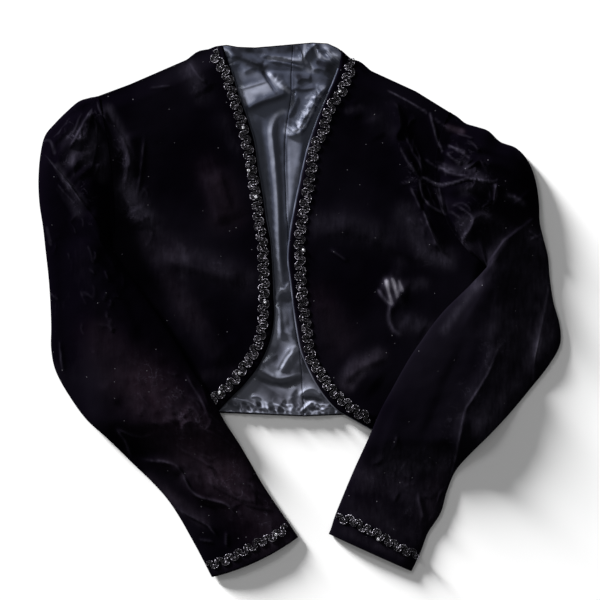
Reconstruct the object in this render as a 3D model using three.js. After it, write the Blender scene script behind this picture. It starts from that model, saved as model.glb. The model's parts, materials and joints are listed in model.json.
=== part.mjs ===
// Bolero jacket in black velvet, lying flat on its back with the sleeves folded in over the fronts.
// Millimetres, +Z up, +Y towards the neck, origin under the middle of the jacket on the surface it
// lies on. "right" and "left" are the wearer's, so the right front is at negative X.
import * as THREE from 'three';

// ---- wall thicknesses of the cloths -------------------------------------------------------------
const BACK_WALL = 2.0;
const FRONT_WALL = 2.2;
const SLEEVE_WALL = 1.6;
const LINING_WALL = 1.0;
const SEAM_GAP = 0.3;

// ---- how high the layers lie --------------------------------------------------------------------
const LINING_TOP = BACK_WALL + SEAM_GAP + LINING_WALL;
const FRONT_REST = 6.2;          // underside of a front over the lining
const SEAM_REST = 2.4;           // underside of a front where it is sewn to the back
const SEAM_RAMP = 22;            // the front climbs from the seam to its rest height in this distance
const SLEEVE_OVER = 9.1;         // underside of a sleeve where it lies over a front
const SLEEVE_CLEAR = 7;          // it stays up this far past the body's edge
const SLEEVE_RUN_OFF = 42;       // and then comes down to the surface in this distance

// ---- the body's seams ---------------------------------------------------------------------------
// From neck to hem. Each row runs across the body: wearer's right side, the right front's free
// edge, the centre back, the left front's free edge, the wearer's left side. Where a row ends on an
// armhole, hole says how far down that armhole it ends.
const BODY_ROWS = [
  { right: [-102, 286], rightEdge: [-84, 290], centre: [-7, 289], leftEdge: [46, 285], left: [57, 275] },
  { right: [-126, 274], rightEdge: [-80, 277], centre: [-8, 274], leftEdge: [45, 275], left: [80, 262] },
  { right: [-156, 261], rightEdge: [-75, 263], centre: [-9, 257], leftEdge: [43, 265], left: [104, 251] },
  { right: [-186, 248], rightEdge: [-70, 246], centre: [-9, 241], leftEdge: [39, 254], left: [128, 240] },
  { hole: 0.00, rightEdge: [-64, 229], centre: [-11, 223], leftEdge: [33, 240] },
  { hole: 0.16, rightEdge: [-57, 209], centre: [-14, 203], leftEdge: [24, 219] },
  { hole: 0.33, rightEdge: [-50, 185], centre: [-16, 180], leftEdge: [15, 195] },
  { hole: 0.50, rightEdge: [-46, 158], centre: [-16, 155], leftEdge: [7, 168] },
  { hole: 0.67, rightEdge: [-41, 130], centre: [-15, 130], leftEdge: [1, 140] },
  { hole: 0.84, rightEdge: [-37, 101], centre: [-14, 104], leftEdge: [-5, 111] },
  { hole: 1.00, rightEdge: [-32, 74], centre: [-12, 78], leftEdge: [-10, 82] },
  { right: [-216, 53], rightEdge: [-30, 46], centre: [-10, 52], leftEdge: [-12, 56], left: [212, 42] },
  { right: [-215, 22], rightEdge: [-29, 20], centre: [-9, 26], leftEdge: [-9, 30], left: [208, 22] },
  { right: [-213, -9], rightEdge: [-28, -6], centre: [-6, 0], leftEdge: [-6, 3], left: [204, -2] },
  { right: [-211, -35], rightEdge: [-31, -28], centre: [-4, -24], leftEdge: [-2, -24], left: [202, -24] },
  { right: [-208, -57], rightEdge: [-38, -48], centre: [0, -45], leftEdge: [3, -47], left: [200, -44] },
  { right: [-206, -77], rightEdge: [-48, -66], centre: [2, -66], leftEdge: [13, -70], left: [199, -66] },
  { right: [-205, -91], rightEdge: [-62, -83], centre: [3, -84], leftEdge: [24, -89], left: [197, -84] },
  { right: [-204, -102], rightEdge: [-77, -98], centre: [4, -98], leftEdge: [40, -108], left: [196, -98] },
];
// the last rows are each piece's own hem: the left front hangs a little lower than the back
const BACK_HEM = { right: [-203, -108], centre: [5, -117], left: [196, -109] };
const RIGHT_FRONT_HEM = [
  { edge: [-88, -110], outer: [-203, -112] },
];
const LEFT_FRONT_HEM = [
  { edge: [58, -119], outer: [196, -111] },
  { edge: [79, -131], outer: [196, -131] },
];
// the armholes run from the shoulder point to the underarm fold, bowed in towards the body
const ARMHOLES = {
  right: { from: [-222.7, 234.3], to: [-205.2, 70.4], bow: 6 },
  left: { from: [165.6, 216.7], to: [204.1, 48.4], bow: 33 },
};
// height of the back neck edge along its length
const NECK_EDGE = [
  { x: -102, y: 286 }, { x: -92, y: 290 }, { x: -80, y: 291 }, { x: -68, y: 288 },
  { x: -49, y: 287 }, { x: -27, y: 289 }, { x: -5, y: 291 }, { x: 14, y: 294 },
  { x: 31, y: 293 }, { x: 42, y: 288 }, { x: 50, y: 282 }, { x: 57, y: 275 },
];

// ---- the sleeves --------------------------------------------------------------------------------
// A row for each section, from the armhole to the cuff. edge lies on the jacket's outline and inner
// on the fold that lies in over the front. bow curves the section in towards the body, lift says how
// much of the body's height the underside already follows, and high is the height of the tube.
const RIGHT_SLEEVE = [
  { edge: [-223.4, 234.8], inner: [-205.9, 70.0], bow: 6.0, lift: 0.00, high: 8.4 },
  { edge: [-232, 233], inner: [-206.0, 69.8], bow: 5.5, lift: 0.00, high: 12 },
  { edge: [-243, 229], inner: [-206.1, 69.6], bow: 5.0, lift: 0.05, high: 17 },
  { edge: [-256, 218], inner: [-206.2, 69.4], bow: 4.0, lift: 0.15, high: 21 },
  { edge: [-269, 205], inner: [-206.3, 69.1], bow: 3.0, lift: 0.30, high: 22 },
  { edge: [-280, 191], inner: [-206.3, 68.8], bow: 2.0, lift: 0.50, high: 21 },
  { edge: [-285, 170], inner: [-206.3, 68.4], bow: 1.0, lift: 0.70, high: 18 },
  { edge: [-287, 144], inner: [-206.1, 67.8], bow: 0.5, lift: 0.90, high: 15 },
  { edge: [-286, 118], inner: [-204.8, 66.5], bow: 0, lift: 1, high: 13 },
  { edge: [-282, 91], inner: [-200.5, 60.5], bow: 0, lift: 1, high: 12 },
  { edge: [-279, 64], inner: [-193, 49], bow: 0, lift: 1, high: 11 },
  { edge: [-276, 37], inner: [-184, 36], bow: 0, lift: 1, high: 10 },
  { edge: [-274, 10], inner: [-171, 17], bow: 0, lift: 1, high: 9.5 },
  { edge: [-273, -18], inner: [-158, -1], bow: 0, lift: 1, high: 9.5 },
  { edge: [-273, -43], inner: [-146, -19], bow: 0, lift: 1, high: 9.5 },
  { edge: [-268, -67], inner: [-133, -39], bow: 0, lift: 1, high: 9.5 },
  { edge: [-254, -93], inner: [-119, -63], bow: 0, lift: 1, high: 9.5 },
  { edge: [-235, -119], inner: [-105, -84], bow: 0, lift: 1, high: 9.5 },
  { edge: [-211, -141], inner: [-93, -102], bow: 0, lift: 1, high: 9.5 },
  { edge: [-187, -165], inner: [-82, -122], bow: 0, lift: 1, high: 9 },
  { edge: [-163, -188], inner: [-68, -144], bow: 0, lift: 1, high: 9 },
  { edge: [-146, -207], inner: [-54, -168], bow: 0, lift: 1, high: 8.5 },
  { edge: [-133, -226], inner: [-41, -191], bow: 0, lift: 1, high: 8 },
  { edge: [-121, -247], inner: [-28, -211], bow: 0, lift: 1, high: 7.5 },
  { edge: [-109, -269], inner: [-14, -231], bow: 0, lift: 1, high: 7 },
  { edge: [-96.5, -293.5], inner: [-1.5, -249.5], bow: -5, lift: 1, high: 7 },
];
const LEFT_SLEEVE = [
  { edge: [166.6, 217.4], inner: [204.9, 48.2], bow: 33, lift: 0.00, high: 8.4 },
  { edge: [174, 212], inner: [205.0, 48.1], bow: 31, lift: 0.00, high: 12 },
  { edge: [183, 205], inner: [205.1, 48.0], bow: 28, lift: 0.05, high: 17 },
  { edge: [196, 201], inner: [205.2, 47.9], bow: 25, lift: 0.10, high: 20 },
  { edge: [210, 195], inner: [205.3, 47.8], bow: 21, lift: 0.20, high: 22 },
  { edge: [224, 185], inner: [205.3, 47.6], bow: 17, lift: 0.35, high: 22 },
  { edge: [239, 176], inner: [205.3, 47.4], bow: 13, lift: 0.50, high: 20 },
  { edge: [251, 164], inner: [205.2, 47.1], bow: 9, lift: 0.65, high: 18 },
  { edge: [259, 144], inner: [204.9, 46.7], bow: 6, lift: 0.80, high: 16 },
  { edge: [263, 120], inner: [203.8, 45.6], bow: 3, lift: 0.95, high: 14 },
  { edge: [264, 97], inner: [200.5, 42.0], bow: 1, lift: 1, high: 13 },
  { edge: [268, 79], inner: [194, 35.0], bow: 0, lift: 1, high: 12 },
  { edge: [273, 59], inner: [184, 24.5], bow: 0, lift: 1, high: 11 },
  { edge: [275, 36], inner: [172, 13], bow: 0, lift: 1, high: 10 },
  { edge: [279, 9], inner: [158, -1], bow: 0, lift: 1, high: 9.5 },
  { edge: [286, -17], inner: [145, -17], bow: 0, lift: 1, high: 9.5 },
  { edge: [286, -39], inner: [133, -34], bow: 0, lift: 1, high: 9.5 },
  { edge: [273, -62], inner: [122, -50], bow: 0, lift: 1, high: 9.5 },
  { edge: [254, -86], inner: [112, -67], bow: 0, lift: 1, high: 9.5 },
  { edge: [234, -110], inner: [101, -87], bow: 0, lift: 1, high: 9.5 },
  { edge: [213, -132], inner: [89, -109], bow: 0, lift: 1, high: 9 },
  { edge: [191, -154], inner: [79, -132], bow: 0, lift: 1, high: 9 },
  { edge: [172, -176], inner: [68, -157], bow: 0, lift: 1, high: 8.5 },
  { edge: [162, -199], inner: [57, -182], bow: 0, lift: 1, high: 8 },
  { edge: [155, -223], inner: [47, -206], bow: 0, lift: 1, high: 7.5 },
  { edge: [141, -245], inner: [39, -226], bow: 0, lift: 1, high: 7 },
  { edge: [133, -266], inner: [34.5, -240], bow: 0, lift: 1, high: 7 },
  { edge: [123, -287], inner: [32, -246], bow: 0, lift: 1, high: 7 },
];
const GATHERS = { count: 8, deep: 1.5, sections: 6 };   // ridges running out from the sleeve head's seam

// ---- the largest folds: soft ridges (high > 0) and troughs (high < 0) from one point to another --
const RIGHT_FRONT_FOLDS = [
  { from: [-186, 196], to: [-184, 150], wide: 9, high: 2.2 },
  { from: [-186, 110], to: [-176, 92], wide: 12, high: 2.4 },
  { from: [-160, 62], to: [-60, 30], wide: 16, high: 1.6 },
  { from: [-96, 150], to: [-72, 96], wide: 14, high: 1.4 },
  { from: [-140, 20], to: [-70, -60], wide: 14, high: 1.2 },
  { from: [-118, 268], to: [-98, 240], wide: 8, high: 1.4 },
];
const LEFT_FRONT_FOLDS = [
  { from: [104, 232], to: [112, 190], wide: 8, high: 2.2 },
  { from: [112, 190], to: [134, 120], wide: 10, high: 2.6 },
  { from: [134, 120], to: [156, 66], wide: 10, high: 2.0 },
  { from: [90, 30], to: [116, 14], wide: 13, high: 2.2 },
  { from: [40, 96], to: [96, 84], wide: 14, high: 1.4 },
  { from: [50, -56], to: [88, -84], wide: 14, high: 1.6 },
];
const RIGHT_SLEEVE_FOLDS = [
  { from: [-281, 172], to: [-228, 110], wide: 7, high: 2.4 },
  { from: [-228, 110], to: [-202, 62], wide: 7, high: 2.0 },
  { from: [-224, 214], to: [-250, 176], wide: 7, high: 2.4 },
  { from: [-206, 190], to: [-214, 150], wide: 7, high: 2.0 },
  { from: [-172, -162], to: [-128, -178], wide: 7, high: 1.6 },
  { from: [-128, -178], to: [-100, -212], wide: 7, high: 1.8 },
  { from: [-124, -70], to: [-90, -124], wide: 9, high: 1.0 },
];
const LEFT_SLEEVE_FOLDS = [
  { from: [134, 142], to: [214, 138], wide: 7, high: 3.0 },
  { from: [214, 138], to: [212, 116], wide: 6, high: 2.4 },
  { from: [168, 116], to: [192, 76], wide: 8, high: 2.4 },
  { from: [240, 92], to: [196, 38], wide: 8, high: 2.2 },
  { from: [218, -38], to: [182, -112], wide: 8, high: 1.6 },
  { from: [182, -112], to: [168, -184], wide: 7, high: 1.6 },
  { from: [274, 22], to: [258, -74], wide: 6, high: 1.4 },
];
const LINING_FOLDS = [
  { from: [-72, 274], to: [6, 268], wide: 6, high: 2.4 },
  { from: [20, 282], to: [44, 276], wide: 6, high: 2.4 },
  { from: [-66, 240], to: [-34, 250], wide: 8, high: 2.2 },
  { from: [-56, 218], to: [-10, 238], wide: 7, high: 3.2 },
  { from: [-14, 198], to: [2, 196], wide: 6, high: 2.6 },
  { from: [2, 196], to: [26, 252], wide: 7, high: 2.8 },
  { from: [-30, 200], to: [-23, 120], wide: 6, high: 2.2 },
  { from: [-23, 120], to: [-22, 0], wide: 5, high: 1.8 },
  { from: [-20, 0], to: [-24, -30], wide: 6, high: 2.4 },
  { from: [-2, -40], to: [-26, -74], wide: 6, high: 2.4 },
  { from: [-58, -96], to: [-40, -110], wide: 5, high: 2.4 },
  { from: [-42, -88], to: [-18, -106], wide: 5, high: 2.4 },
  { from: [0, -92], to: [24, -90], wide: 5, high: 2.6 },
];

// ---- gimp braid ---------------------------------------------------------------------------------
const BRAID = { half: 5.4, scallop: 1.2, pitch: 11.4, thick: 1.4, clear: 0.35, steps: 4 };
// where a front's braid passes under the sleeve, which lies over it
const BRAID_TUCK = {
  right: { from: [-98, -101], to: [-106, -104], wide: 13, high: 2.6 },
  left: { from: [74, -117], to: [80, -121], wide: 9, high: 1.2 },
};
const BRAID_FEET = [[0, 0], [2, 0], [-2, 0], [0, 2], [0, -2]];
const RIGHT_BRAID = [
  [-95, 284], [-91, 275], [-85, 266], [-79, 256], [-76, 243], [-72, 232], [-69, 221], [-64, 207], [-61, 196],
  [-58.5, 184], [-55.5, 173], [-53, 160], [-51, 146], [-50, 134], [-46.5, 117], [-44.5, 95], [-41, 77],
  [-40, 58], [-39, 33], [-39, 10], [-40, -7], [-42, -24], [-45, -36], [-51, -48], [-58, -58],
  [-65, -68], [-73, -78], [-81, -86], [-89, -93], [-97, -100], [-103, -103],
];
const LEFT_BRAID = [
  [54, 275], [55.5, 268], [54, 258], [50, 250], [45.5, 238], [37, 227], [31, 216.5], [28, 204.5], [26, 194],
  [19, 184], [15, 171], [14, 159], [13, 151], [10, 139], [8, 127], [6, 115], [3, 99], [0.5, 80],
  [0.5, 64], [0.8, 45], [2, 26], [3.5, 10], [6, -7], [8, -24], [10.5, -41], [14, -56], [21.5, -67],
  [28.5, -78], [36, -88.5], [46, -98], [57, -107], [67, -114], [78, -120],
];
const RIGHT_CUFF_BRAID = [
  [-101.5, -281], [-92, -278], [-81, -274.5], [-71, -269.5], [-61, -264], [-46, -256], [-34, -251],
  [-24, -245.5], [-13, -238],
];
const LEFT_CUFF_BRAID = [
  [40.5, -228], [49, -229.5], [58, -231], [70, -238.5], [83, -244], [92, -250], [104, -257.5],
  [115, -263], [124, -266.5], [131.5, -268.5],
];

// ---- small helpers ------------------------------------------------------------------------------
const clamp = (v, lo, hi) => Math.min(hi, Math.max(lo, v));
const lerp = (a, b, t) => a + (b - a) * t;
const mix = (p, q, t) => [lerp(p[0], q[0], t), lerp(p[1], q[1], t)];
const ease = (t) => {
  const c = clamp(t, 0, 1);
  return c * c * (3 - 2 * c);
};

// a smooth value through a column of numbers, at row position t
function through(values, t) {
  const last = values.length - 1;
  const i = clamp(Math.floor(t), 0, last - 1);
  const f = t - i;
  const at = (k) => values[clamp(k, 0, last)];
  const slope1 = (at(i + 1) - at(i - 1)) / 2;
  const slope2 = (at(i + 2) - at(i)) / 2;
  const a = 2 * at(i) - 2 * at(i + 1) + slope1 + slope2;
  const b = -3 * at(i) + 3 * at(i + 1) - 2 * slope1 - slope2;
  return ((a * f + b) * f + slope1) * f + at(i);
}
const throughPoints = (points, t) => [
  through(points.map((p) => p[0]), t),
  through(points.map((p) => p[1]), t),
];

function segmentDistance(x, y, from, to) {
  const dx = to[0] - from[0];
  const dy = to[1] - from[1];
  const f = clamp(((x - from[0]) * dx + (y - from[1]) * dy) / (dx * dx + dy * dy), 0, 1);
  return Math.hypot(x - from[0] - f * dx, y - from[1] - f * dy);
}

// total height of a list of folds at a point
function foldHeight(folds, x, y) {
  let sum = 0;
  for (const fold of folds) {
    const d = segmentDistance(x, y, fold.from, fold.to) / fold.wide;
    sum += fold.high * Math.exp(-d * d);
  }
  return sum;
}

// point on an armhole, s = 0 at the shoulder and 1 at the underarm fold
function armholePoint(side, s) {
  const hole = ARMHOLES[side];
  return bowedPoint(hole.from, hole.to, hole.bow, s, side);
}

// a line from one point to another, bowed towards the middle of the body
function bowedPoint(from, to, bow, s, side) {
  const length = Math.hypot(to[0] - from[0], to[1] - from[1]);
  const turn = side === 'right' ? 1 : -1;
  const nx = (-(to[1] - from[1]) / length) * turn;
  const ny = ((to[0] - from[0]) / length) * turn;
  const push = bow * 4 * s * (1 - s);
  return [lerp(from[0], to[0], s) + nx * push, lerp(from[1], to[1], s) + ny * push];
}

// outer point of a body row at row position t, exact on the armholes
function sidePoint(side, t) {
  const i = clamp(Math.floor(t), 0, BODY_ROWS.length - 2);
  const f = t - i;
  const a = BODY_ROWS[i];
  const b = BODY_ROWS[i + 1];
  if (a.hole !== undefined && b.hole !== undefined) {
    return armholePoint(side, lerp(a.hole, b.hole, f));
  }
  const end = (row) => (row.hole === undefined ? row[side] : armholePoint(side, row.hole));
  return mix(end(a), end(b), f);
}

// ---- heights ------------------------------------------------------------------------------------
const LAST_ROW = BODY_ROWS.length - 1;
const SHOULDER_ROW = 4; // where the shoulder seam meets the armhole
const UNDERARM_ROW = 10; // where the armhole meets the side seam
// past the hem of the back a front sinks, over HEM_RUN from HEM_LINE, by HEM_DROP
const HEM_LINE = -114;
const HEM_RUN = 18;
const HEM_DROP = 3.6;
const LEAST_REST = 1;
const FOLD_FADE = 40; // folds of a front fade out this close to its sewn seams

function sewnSeams(side) {
  const shoulder = [];
  for (let i = 0; i <= SHOULDER_ROW; i += 1) {
    shoulder.push(sidePoint(side, i));
  }
  const sideSeam = [];
  for (let i = UNDERARM_ROW + 1; i <= LAST_ROW; i += 1) {
    sideSeam.push(sidePoint(side, i));
  }
  sideSeam.push(BACK_HEM[side]);
  return [shoulder, sideSeam];
}
const SEAMS = { right: sewnSeams('right'), left: sewnSeams('left') };

function lineDistance(x, y, line) {
  let best = Infinity;
  for (let i = 0; i + 1 < line.length; i += 1) {
    best = Math.min(best, segmentDistance(x, y, line[i], line[i + 1]));
  }
  return best;
}

// underside of a front
function frontRest(side, x, y) {
  const seam = Math.min(...SEAMS[side].map((line) => lineDistance(x, y, line)));
  const over = lerp(SEAM_REST, FRONT_REST, ease(seam / SEAM_RAMP));
  const pastHem = ease((HEM_LINE - y) / HEM_RUN) * HEM_DROP;
  const folds = side === 'right' ? RIGHT_FRONT_FOLDS : LEFT_FRONT_FOLDS;
  const edgeFade = ease(seam / FOLD_FADE);
  return Math.max(over - pastHem, LEAST_REST) + foldHeight(folds, x, y) * edgeFade;
}

// free edges of the fronts as a function of y, for the lining in the opening
function edgeAt(column, y) {
  for (let i = 0; i < LAST_ROW; i += 1) {
    const a = BODY_ROWS[i][column];
    const b = BODY_ROWS[i + 1][column];
    if (y <= a[1] && y >= b[1]) {
      return lerp(a[0], b[0], (a[1] - y) / (a[1] - b[1]));
    }
  }
  return y > 0 ? BODY_ROWS[0][column][0] : BODY_ROWS[LAST_ROW][column][0];
}

// top of the back lining: creased in the opening, flat under the fronts
function liningTop(x, y) {
  const inside = Math.min(x - edgeAt('rightEdge', y), edgeAt('leftEdge', y) - x);
  const most = clamp(0.9 + inside * 0.4, 0, 5.5) * ease((inside + 14) / 14);
  return LINING_TOP + clamp(foldHeight(LINING_FOLDS, x, y), 0, most);
}

// plan outline of the body, for the ground that the sleeves lie on
function bodyOutline() {
  const points = [];
  for (let t = 0; t <= LAST_ROW; t += 0.5) {
    points.push(sidePoint('right', t));
  }
  points.push([-203, -111], [5, -117], [60, -119], [79, -131], [196, -131]);
  for (let t = LAST_ROW; t >= 0; t -= 0.5) {
    points.push(sidePoint('left', t));
  }
  return points;
}
const OUTLINE = bodyOutline();

function outsideBody(x, y) {
  let inside = false;
  let best = Infinity;
  for (let i = 0; i < OUTLINE.length; i += 1) {
    const a = OUTLINE[i];
    const b = OUTLINE[(i + 1) % OUTLINE.length];
    best = Math.min(best, segmentDistance(x, y, a, b));
    if ((a[1] > y) !== (b[1] > y) && x < a[0] + ((y - a[1]) / (b[1] - a[1])) * (b[0] - a[0])) {
      inside = !inside;
    }
  }
  return inside ? 0 : best;
}

// what a sleeve lies on: the fronts, and beside them the surface
function ground(side, x, y) {
  const folds = side === 'right' ? RIGHT_FRONT_FOLDS : LEFT_FRONT_FOLDS;
  const over = SLEEVE_OVER + Math.max(0, foldHeight(folds, x, y));
  const braid = foldHeight([BRAID_TUCK[side]], x, y);
  return over * (1 - ease((outsideBody(x, y) - SLEEVE_CLEAR) / SLEEVE_RUN_OFF)) + braid;
}

// ---- meshes -------------------------------------------------------------------------------------
const jacket = new THREE.Group();
jacket.name = 'bolero_jacket';

function addNode(name, positions, faces, color) {
  const geometry = new THREE.BufferGeometry();
  geometry.setAttribute('position', new THREE.Float32BufferAttribute(positions.flat(), 3));
  geometry.setIndex(faces.flat());
  geometry.computeVertexNormals();
  const material = new THREE.MeshStandardMaterial({ color, roughness: 0.8 });
  const mesh = new THREE.Mesh(geometry, material);
  mesh.name = name;
  jacket.add(mesh);
}

const quad = (a, b, c, d) => [[a, b, c], [a, c, d]];

// A wall from a grid of plan points with a top and an underside height at each.
// Rows run down the piece and columns run across it, towards positive X.
function addWall(name, grid, color) {
  const rows = grid.length;
  const columns = grid[0].length;
  const positions = [];
  grid.forEach((row) => row.forEach((p) => positions.push([p.x, p.y, p.top])));
  grid.forEach((row) => row.forEach((p) => positions.push([p.x, p.y, p.under])));
  const top = (r, c) => r * columns + c;
  const under = (r, c) => rows * columns + top(r, c);
  const faces = [];
  for (let r = 0; r + 1 < rows; r += 1) {
    for (let c = 0; c + 1 < columns; c += 1) {
      faces.push(...quad(top(r, c), top(r + 1, c), top(r + 1, c + 1), top(r, c + 1)));
      faces.push(...quad(under(r, c), under(r, c + 1), under(r + 1, c + 1), under(r + 1, c)));
    }
  }
  for (let r = 0; r + 1 < rows; r += 1) {
    const c = columns - 1;
    faces.push(...quad(top(r, 0), under(r, 0), under(r + 1, 0), top(r + 1, 0)));
    faces.push(...quad(top(r, c), top(r + 1, c), under(r + 1, c), under(r, c)));
  }
  for (let c = 0; c + 1 < columns; c += 1) {
    const r = rows - 1;
    faces.push(...quad(top(0, c), top(0, c + 1), under(0, c + 1), under(0, c)));
    faces.push(...quad(top(r, c), under(r, c), under(r, c + 1), top(r, c + 1)));
  }
  addNode(name, positions, faces, color);
}

const VELVET = 0x17141c;
const SATIN = 0x454a55;
const GIMP = 0x26262b;

// ---- back ---------------------------------------------------------------------------------------
function neckY(x) {
  for (let i = 0; i + 1 < NECK_EDGE.length; i += 1) {
    const a = NECK_EDGE[i];
    const b = NECK_EDGE[i + 1];
    if (x <= b.x) {
      return lerp(a.y, b.y, clamp((x - a.x) / (b.x - a.x), 0, 1));
    }
  }
  return NECK_EDGE[NECK_EDGE.length - 1].y;
}

// three points of a back row: right side, centre back, left side
function backRow(t) {
  if (t > LAST_ROW) {
    return [BACK_HEM.right, BACK_HEM.centre, BACK_HEM.left];
  }
  const centre = throughPoints(BODY_ROWS.map((row) => row.centre), t);
  return [sidePoint('right', t), centre, sidePoint('left', t)];
}

const BACK_STEPS = 5;
function buildBack() {
  const grid = [];
  const rows = BODY_ROWS.map((row, i) => i);
  const between = rows.filter((i) => i >= SHOULDER_ROW && i < UNDERARM_ROW).map((i) => i + 0.5);
  for (const t of [...rows, ...between, LAST_ROW + 1].sort((a, b) => a - b)) {
    const [right, centre, left] = backRow(t);
    const row = [];
    for (let c = -BACK_STEPS; c <= BACK_STEPS; c += 1) {
      const end = c < 0 ? right : left;
      const [x, y] = mix(centre, end, Math.abs(c) / BACK_STEPS);
      row.push({ x, y: t === 0 ? neckY(x) : y, top: BACK_WALL, under: 0 });
    }
    grid.push(row);
  }
  addWall('back', grid, VELVET);
}

// ---- back lining, in two halves that meet at the centre-back seam --------------------------------
const LINING = { neckIn: 2.5, sideIn: 14, shoulderIn: 9, hemIn: 3, rowSteps: 2 };
const LINING_COLUMNS = [0, 0.06, 0.13, 0.2, 0.28, 0.38, 0.5, 1];
function buildBackLining(side) {
  const turn = side === 'right' ? -1 : 1;
  const grid = [];
  const count = (LAST_ROW + 1) * LINING.rowSteps;
  for (let k = 0; k <= count; k += 1) {
    const t = k / LINING.rowSteps;
    const [right, centre, left] = backRow(t);
    const end = side === 'right' ? right : left;
    const from = [centre[0] + turn * SEAM_GAP / 2, centre[1]];
    const to = [end[0] - turn * LINING.sideIn, end[1]];
    const row = LINING_COLUMNS.map((u) => {
      const [x, y] = mix(from, to, u);
      const upper = neckY(x) - LINING.neckIn;
      const lower = BACK_HEM.centre[1] + LINING.hemIn;
      const inY = clamp(k === 0 ? upper : y, lower - 1, upper);
      const shoulderIn = LINING.shoulderIn * u * Math.min(t, 1) * clamp(5 - t, 0, 1);
      const top = liningTop(x, inY);
      return { x, y: inY - shoulderIn, top, under: top - LINING_WALL };
    });
    grid.push(side === 'right' ? row.reverse() : row);
  }
  addWall(`lining_back_${side}`, grid, SATIN);
}

// ---- fronts -------------------------------------------------------------------------------------
function frontRows(side) {
  const edges = BODY_ROWS.map((row) => row[`${side}Edge`]);
  const hem = side === 'right' ? RIGHT_FRONT_HEM : LEFT_FRONT_HEM;
  edges.push(...hem.map((row) => row.edge));
  const rows = [];
  for (let t = 0; t <= edges.length - 1; t += 0.5) {
    const edge = throughPoints(edges, t);
    const past = t - LAST_ROW;
    let outer = sidePoint(side, Math.min(t, LAST_ROW));
    if (past > 0) {
      const chain = [outer, ...hem.map((row) => row.outer)];
      const i = Math.min(Math.floor(past), chain.length - 2);
      outer = mix(chain[i], chain[i + 1], past - i);
    }
    rows.push({ edge, outer });
  }
  return rows;
}

const FRONT_COLUMNS = [0, 0.02, 0.08, 0.17, 0.28, 0.4, 0.52, 0.64, 0.76, 0.88, 1];
function frontGrid(side) {
  return frontRows(side).map(({ edge, outer }) => {
    const row = FRONT_COLUMNS.map((u) => {
      const [x, y] = mix(edge, outer, u);
      const under = frontRest(side, x, y);
      const rolled = u === 0 ? 0.7 : 0;
      return { x, y, top: under + FRONT_WALL - rolled, under };
    });
    return side === 'right' ? row.reverse() : row;
  });
}

// ---- sleeves: flattened tubes, open at the armhole and at the cuff ------------------------------
const UPPER = [0.012, 0.04];
for (let i = 0; i <= 18; i += 1) {
  UPPER.push(lerp(0.08, 0.92, i / 18));
}
UPPER.push(0.96, 0.988);
const LOWER = [0.98, 0.94, 0.72, 0.4, 0.06, 0.02];
const LOWER_ROUND = 2.2;

function sleeveSection(side, table, folds, k) {
  const row = table[k];
  const width = Math.hypot(row.inner[0] - row.edge[0], row.inner[1] - row.edge[1]);
  const at = (s) => {
    const [x, y] = bowedPoint(row.edge, row.inner, row.bow, s, side);
    const near = 1 - Math.abs(2 * s - 1);
    const base = ground(side, x, y) * row.lift;
    const low = base + LOWER_ROUND * (1 - Math.min(1, Math.sqrt(near / 0.1)));
    const crown = Math.sqrt(Math.max(0, 1 - Math.pow(Math.abs(2 * s - 1), 2.6)));
    const gathered = GATHERS.deep * (1 - Math.min(1, k / GATHERS.sections)) * Math.min(k, 1);
    const ridge = gathered * Math.cos(2 * Math.PI * GATHERS.count * s);
    const relief = (foldHeight(folds, x, y) * Math.min(k / 2, 1) + ridge) * crown;
    const up = base + LOWER_ROUND + (row.high - LOWER_ROUND) * crown + relief;
    return { x, y, low, up };
  };
  const outer = [];
  const inner = [];
  const inset = SLEEVE_WALL / width;
  const fit = (s) => inset + s * (1 - 2 * inset);
  const place = (list, p, z) => list.push([p.x, p.y, z]);
  const closing = (s) => {
    const o = at(s);
    const i = at(fit(s));
    place(outer, o, (o.low + o.up) / 2);
    place(inner, i, (i.low + i.up) / 2);
  };
  const half = (p) => Math.max(0.2, (p.up - p.low) / 2 - SLEEVE_WALL);
  closing(0);
  UPPER.forEach((s) => {
    const o = at(s);
    const i = at(fit(s));
    place(outer, o, o.up);
    place(inner, i, (i.low + i.up) / 2 + half(i));
  });
  closing(1);
  LOWER.forEach((s) => {
    const o = at(s);
    const i = at(fit(s));
    place(outer, o, o.low);
    place(inner, i, (i.low + i.up) / 2 - half(i));
  });
  return { outer, inner };
}

function buildSleeve(side) {
  const table = side === 'right' ? RIGHT_SLEEVE : LEFT_SLEEVE;
  const folds = side === 'right' ? RIGHT_SLEEVE_FOLDS : LEFT_SLEEVE_FOLDS;
  const sections = table.map((row, k) => sleeveSection(side, table, folds, k));
  const size = sections[0].outer.length;
  const positions = [];
  sections.forEach((section) => positions.push(...section.outer, ...section.inner));
  const out = (k, j) => k * 2 * size + (j % size);
  const inn = (k, j) => out(k, j) + size;
  const flip = side === 'right' ? ([a, b, c]) => [a, b, c] : ([a, b, c]) => [a, c, b];
  const faces = [];
  for (let j = 0; j < size; j += 1) {
    for (let k = 0; k + 1 < sections.length; k += 1) {
      faces.push(...quad(out(k, j), out(k + 1, j), out(k + 1, j + 1), out(k, j + 1)).map(flip));
      faces.push(...quad(inn(k, j), inn(k, j + 1), inn(k + 1, j + 1), inn(k + 1, j)).map(flip));
    }
    const end = sections.length - 1;
    faces.push(...quad(out(0, j), out(0, j + 1), inn(0, j + 1), inn(0, j)).map(flip));
    faces.push(...quad(out(end, j), inn(end, j), inn(end, j + 1), out(end, j + 1)).map(flip));
  }
  addNode(`sleeve_${side}`, positions, faces, VELVET);
  return { positions, faces };
}

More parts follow.
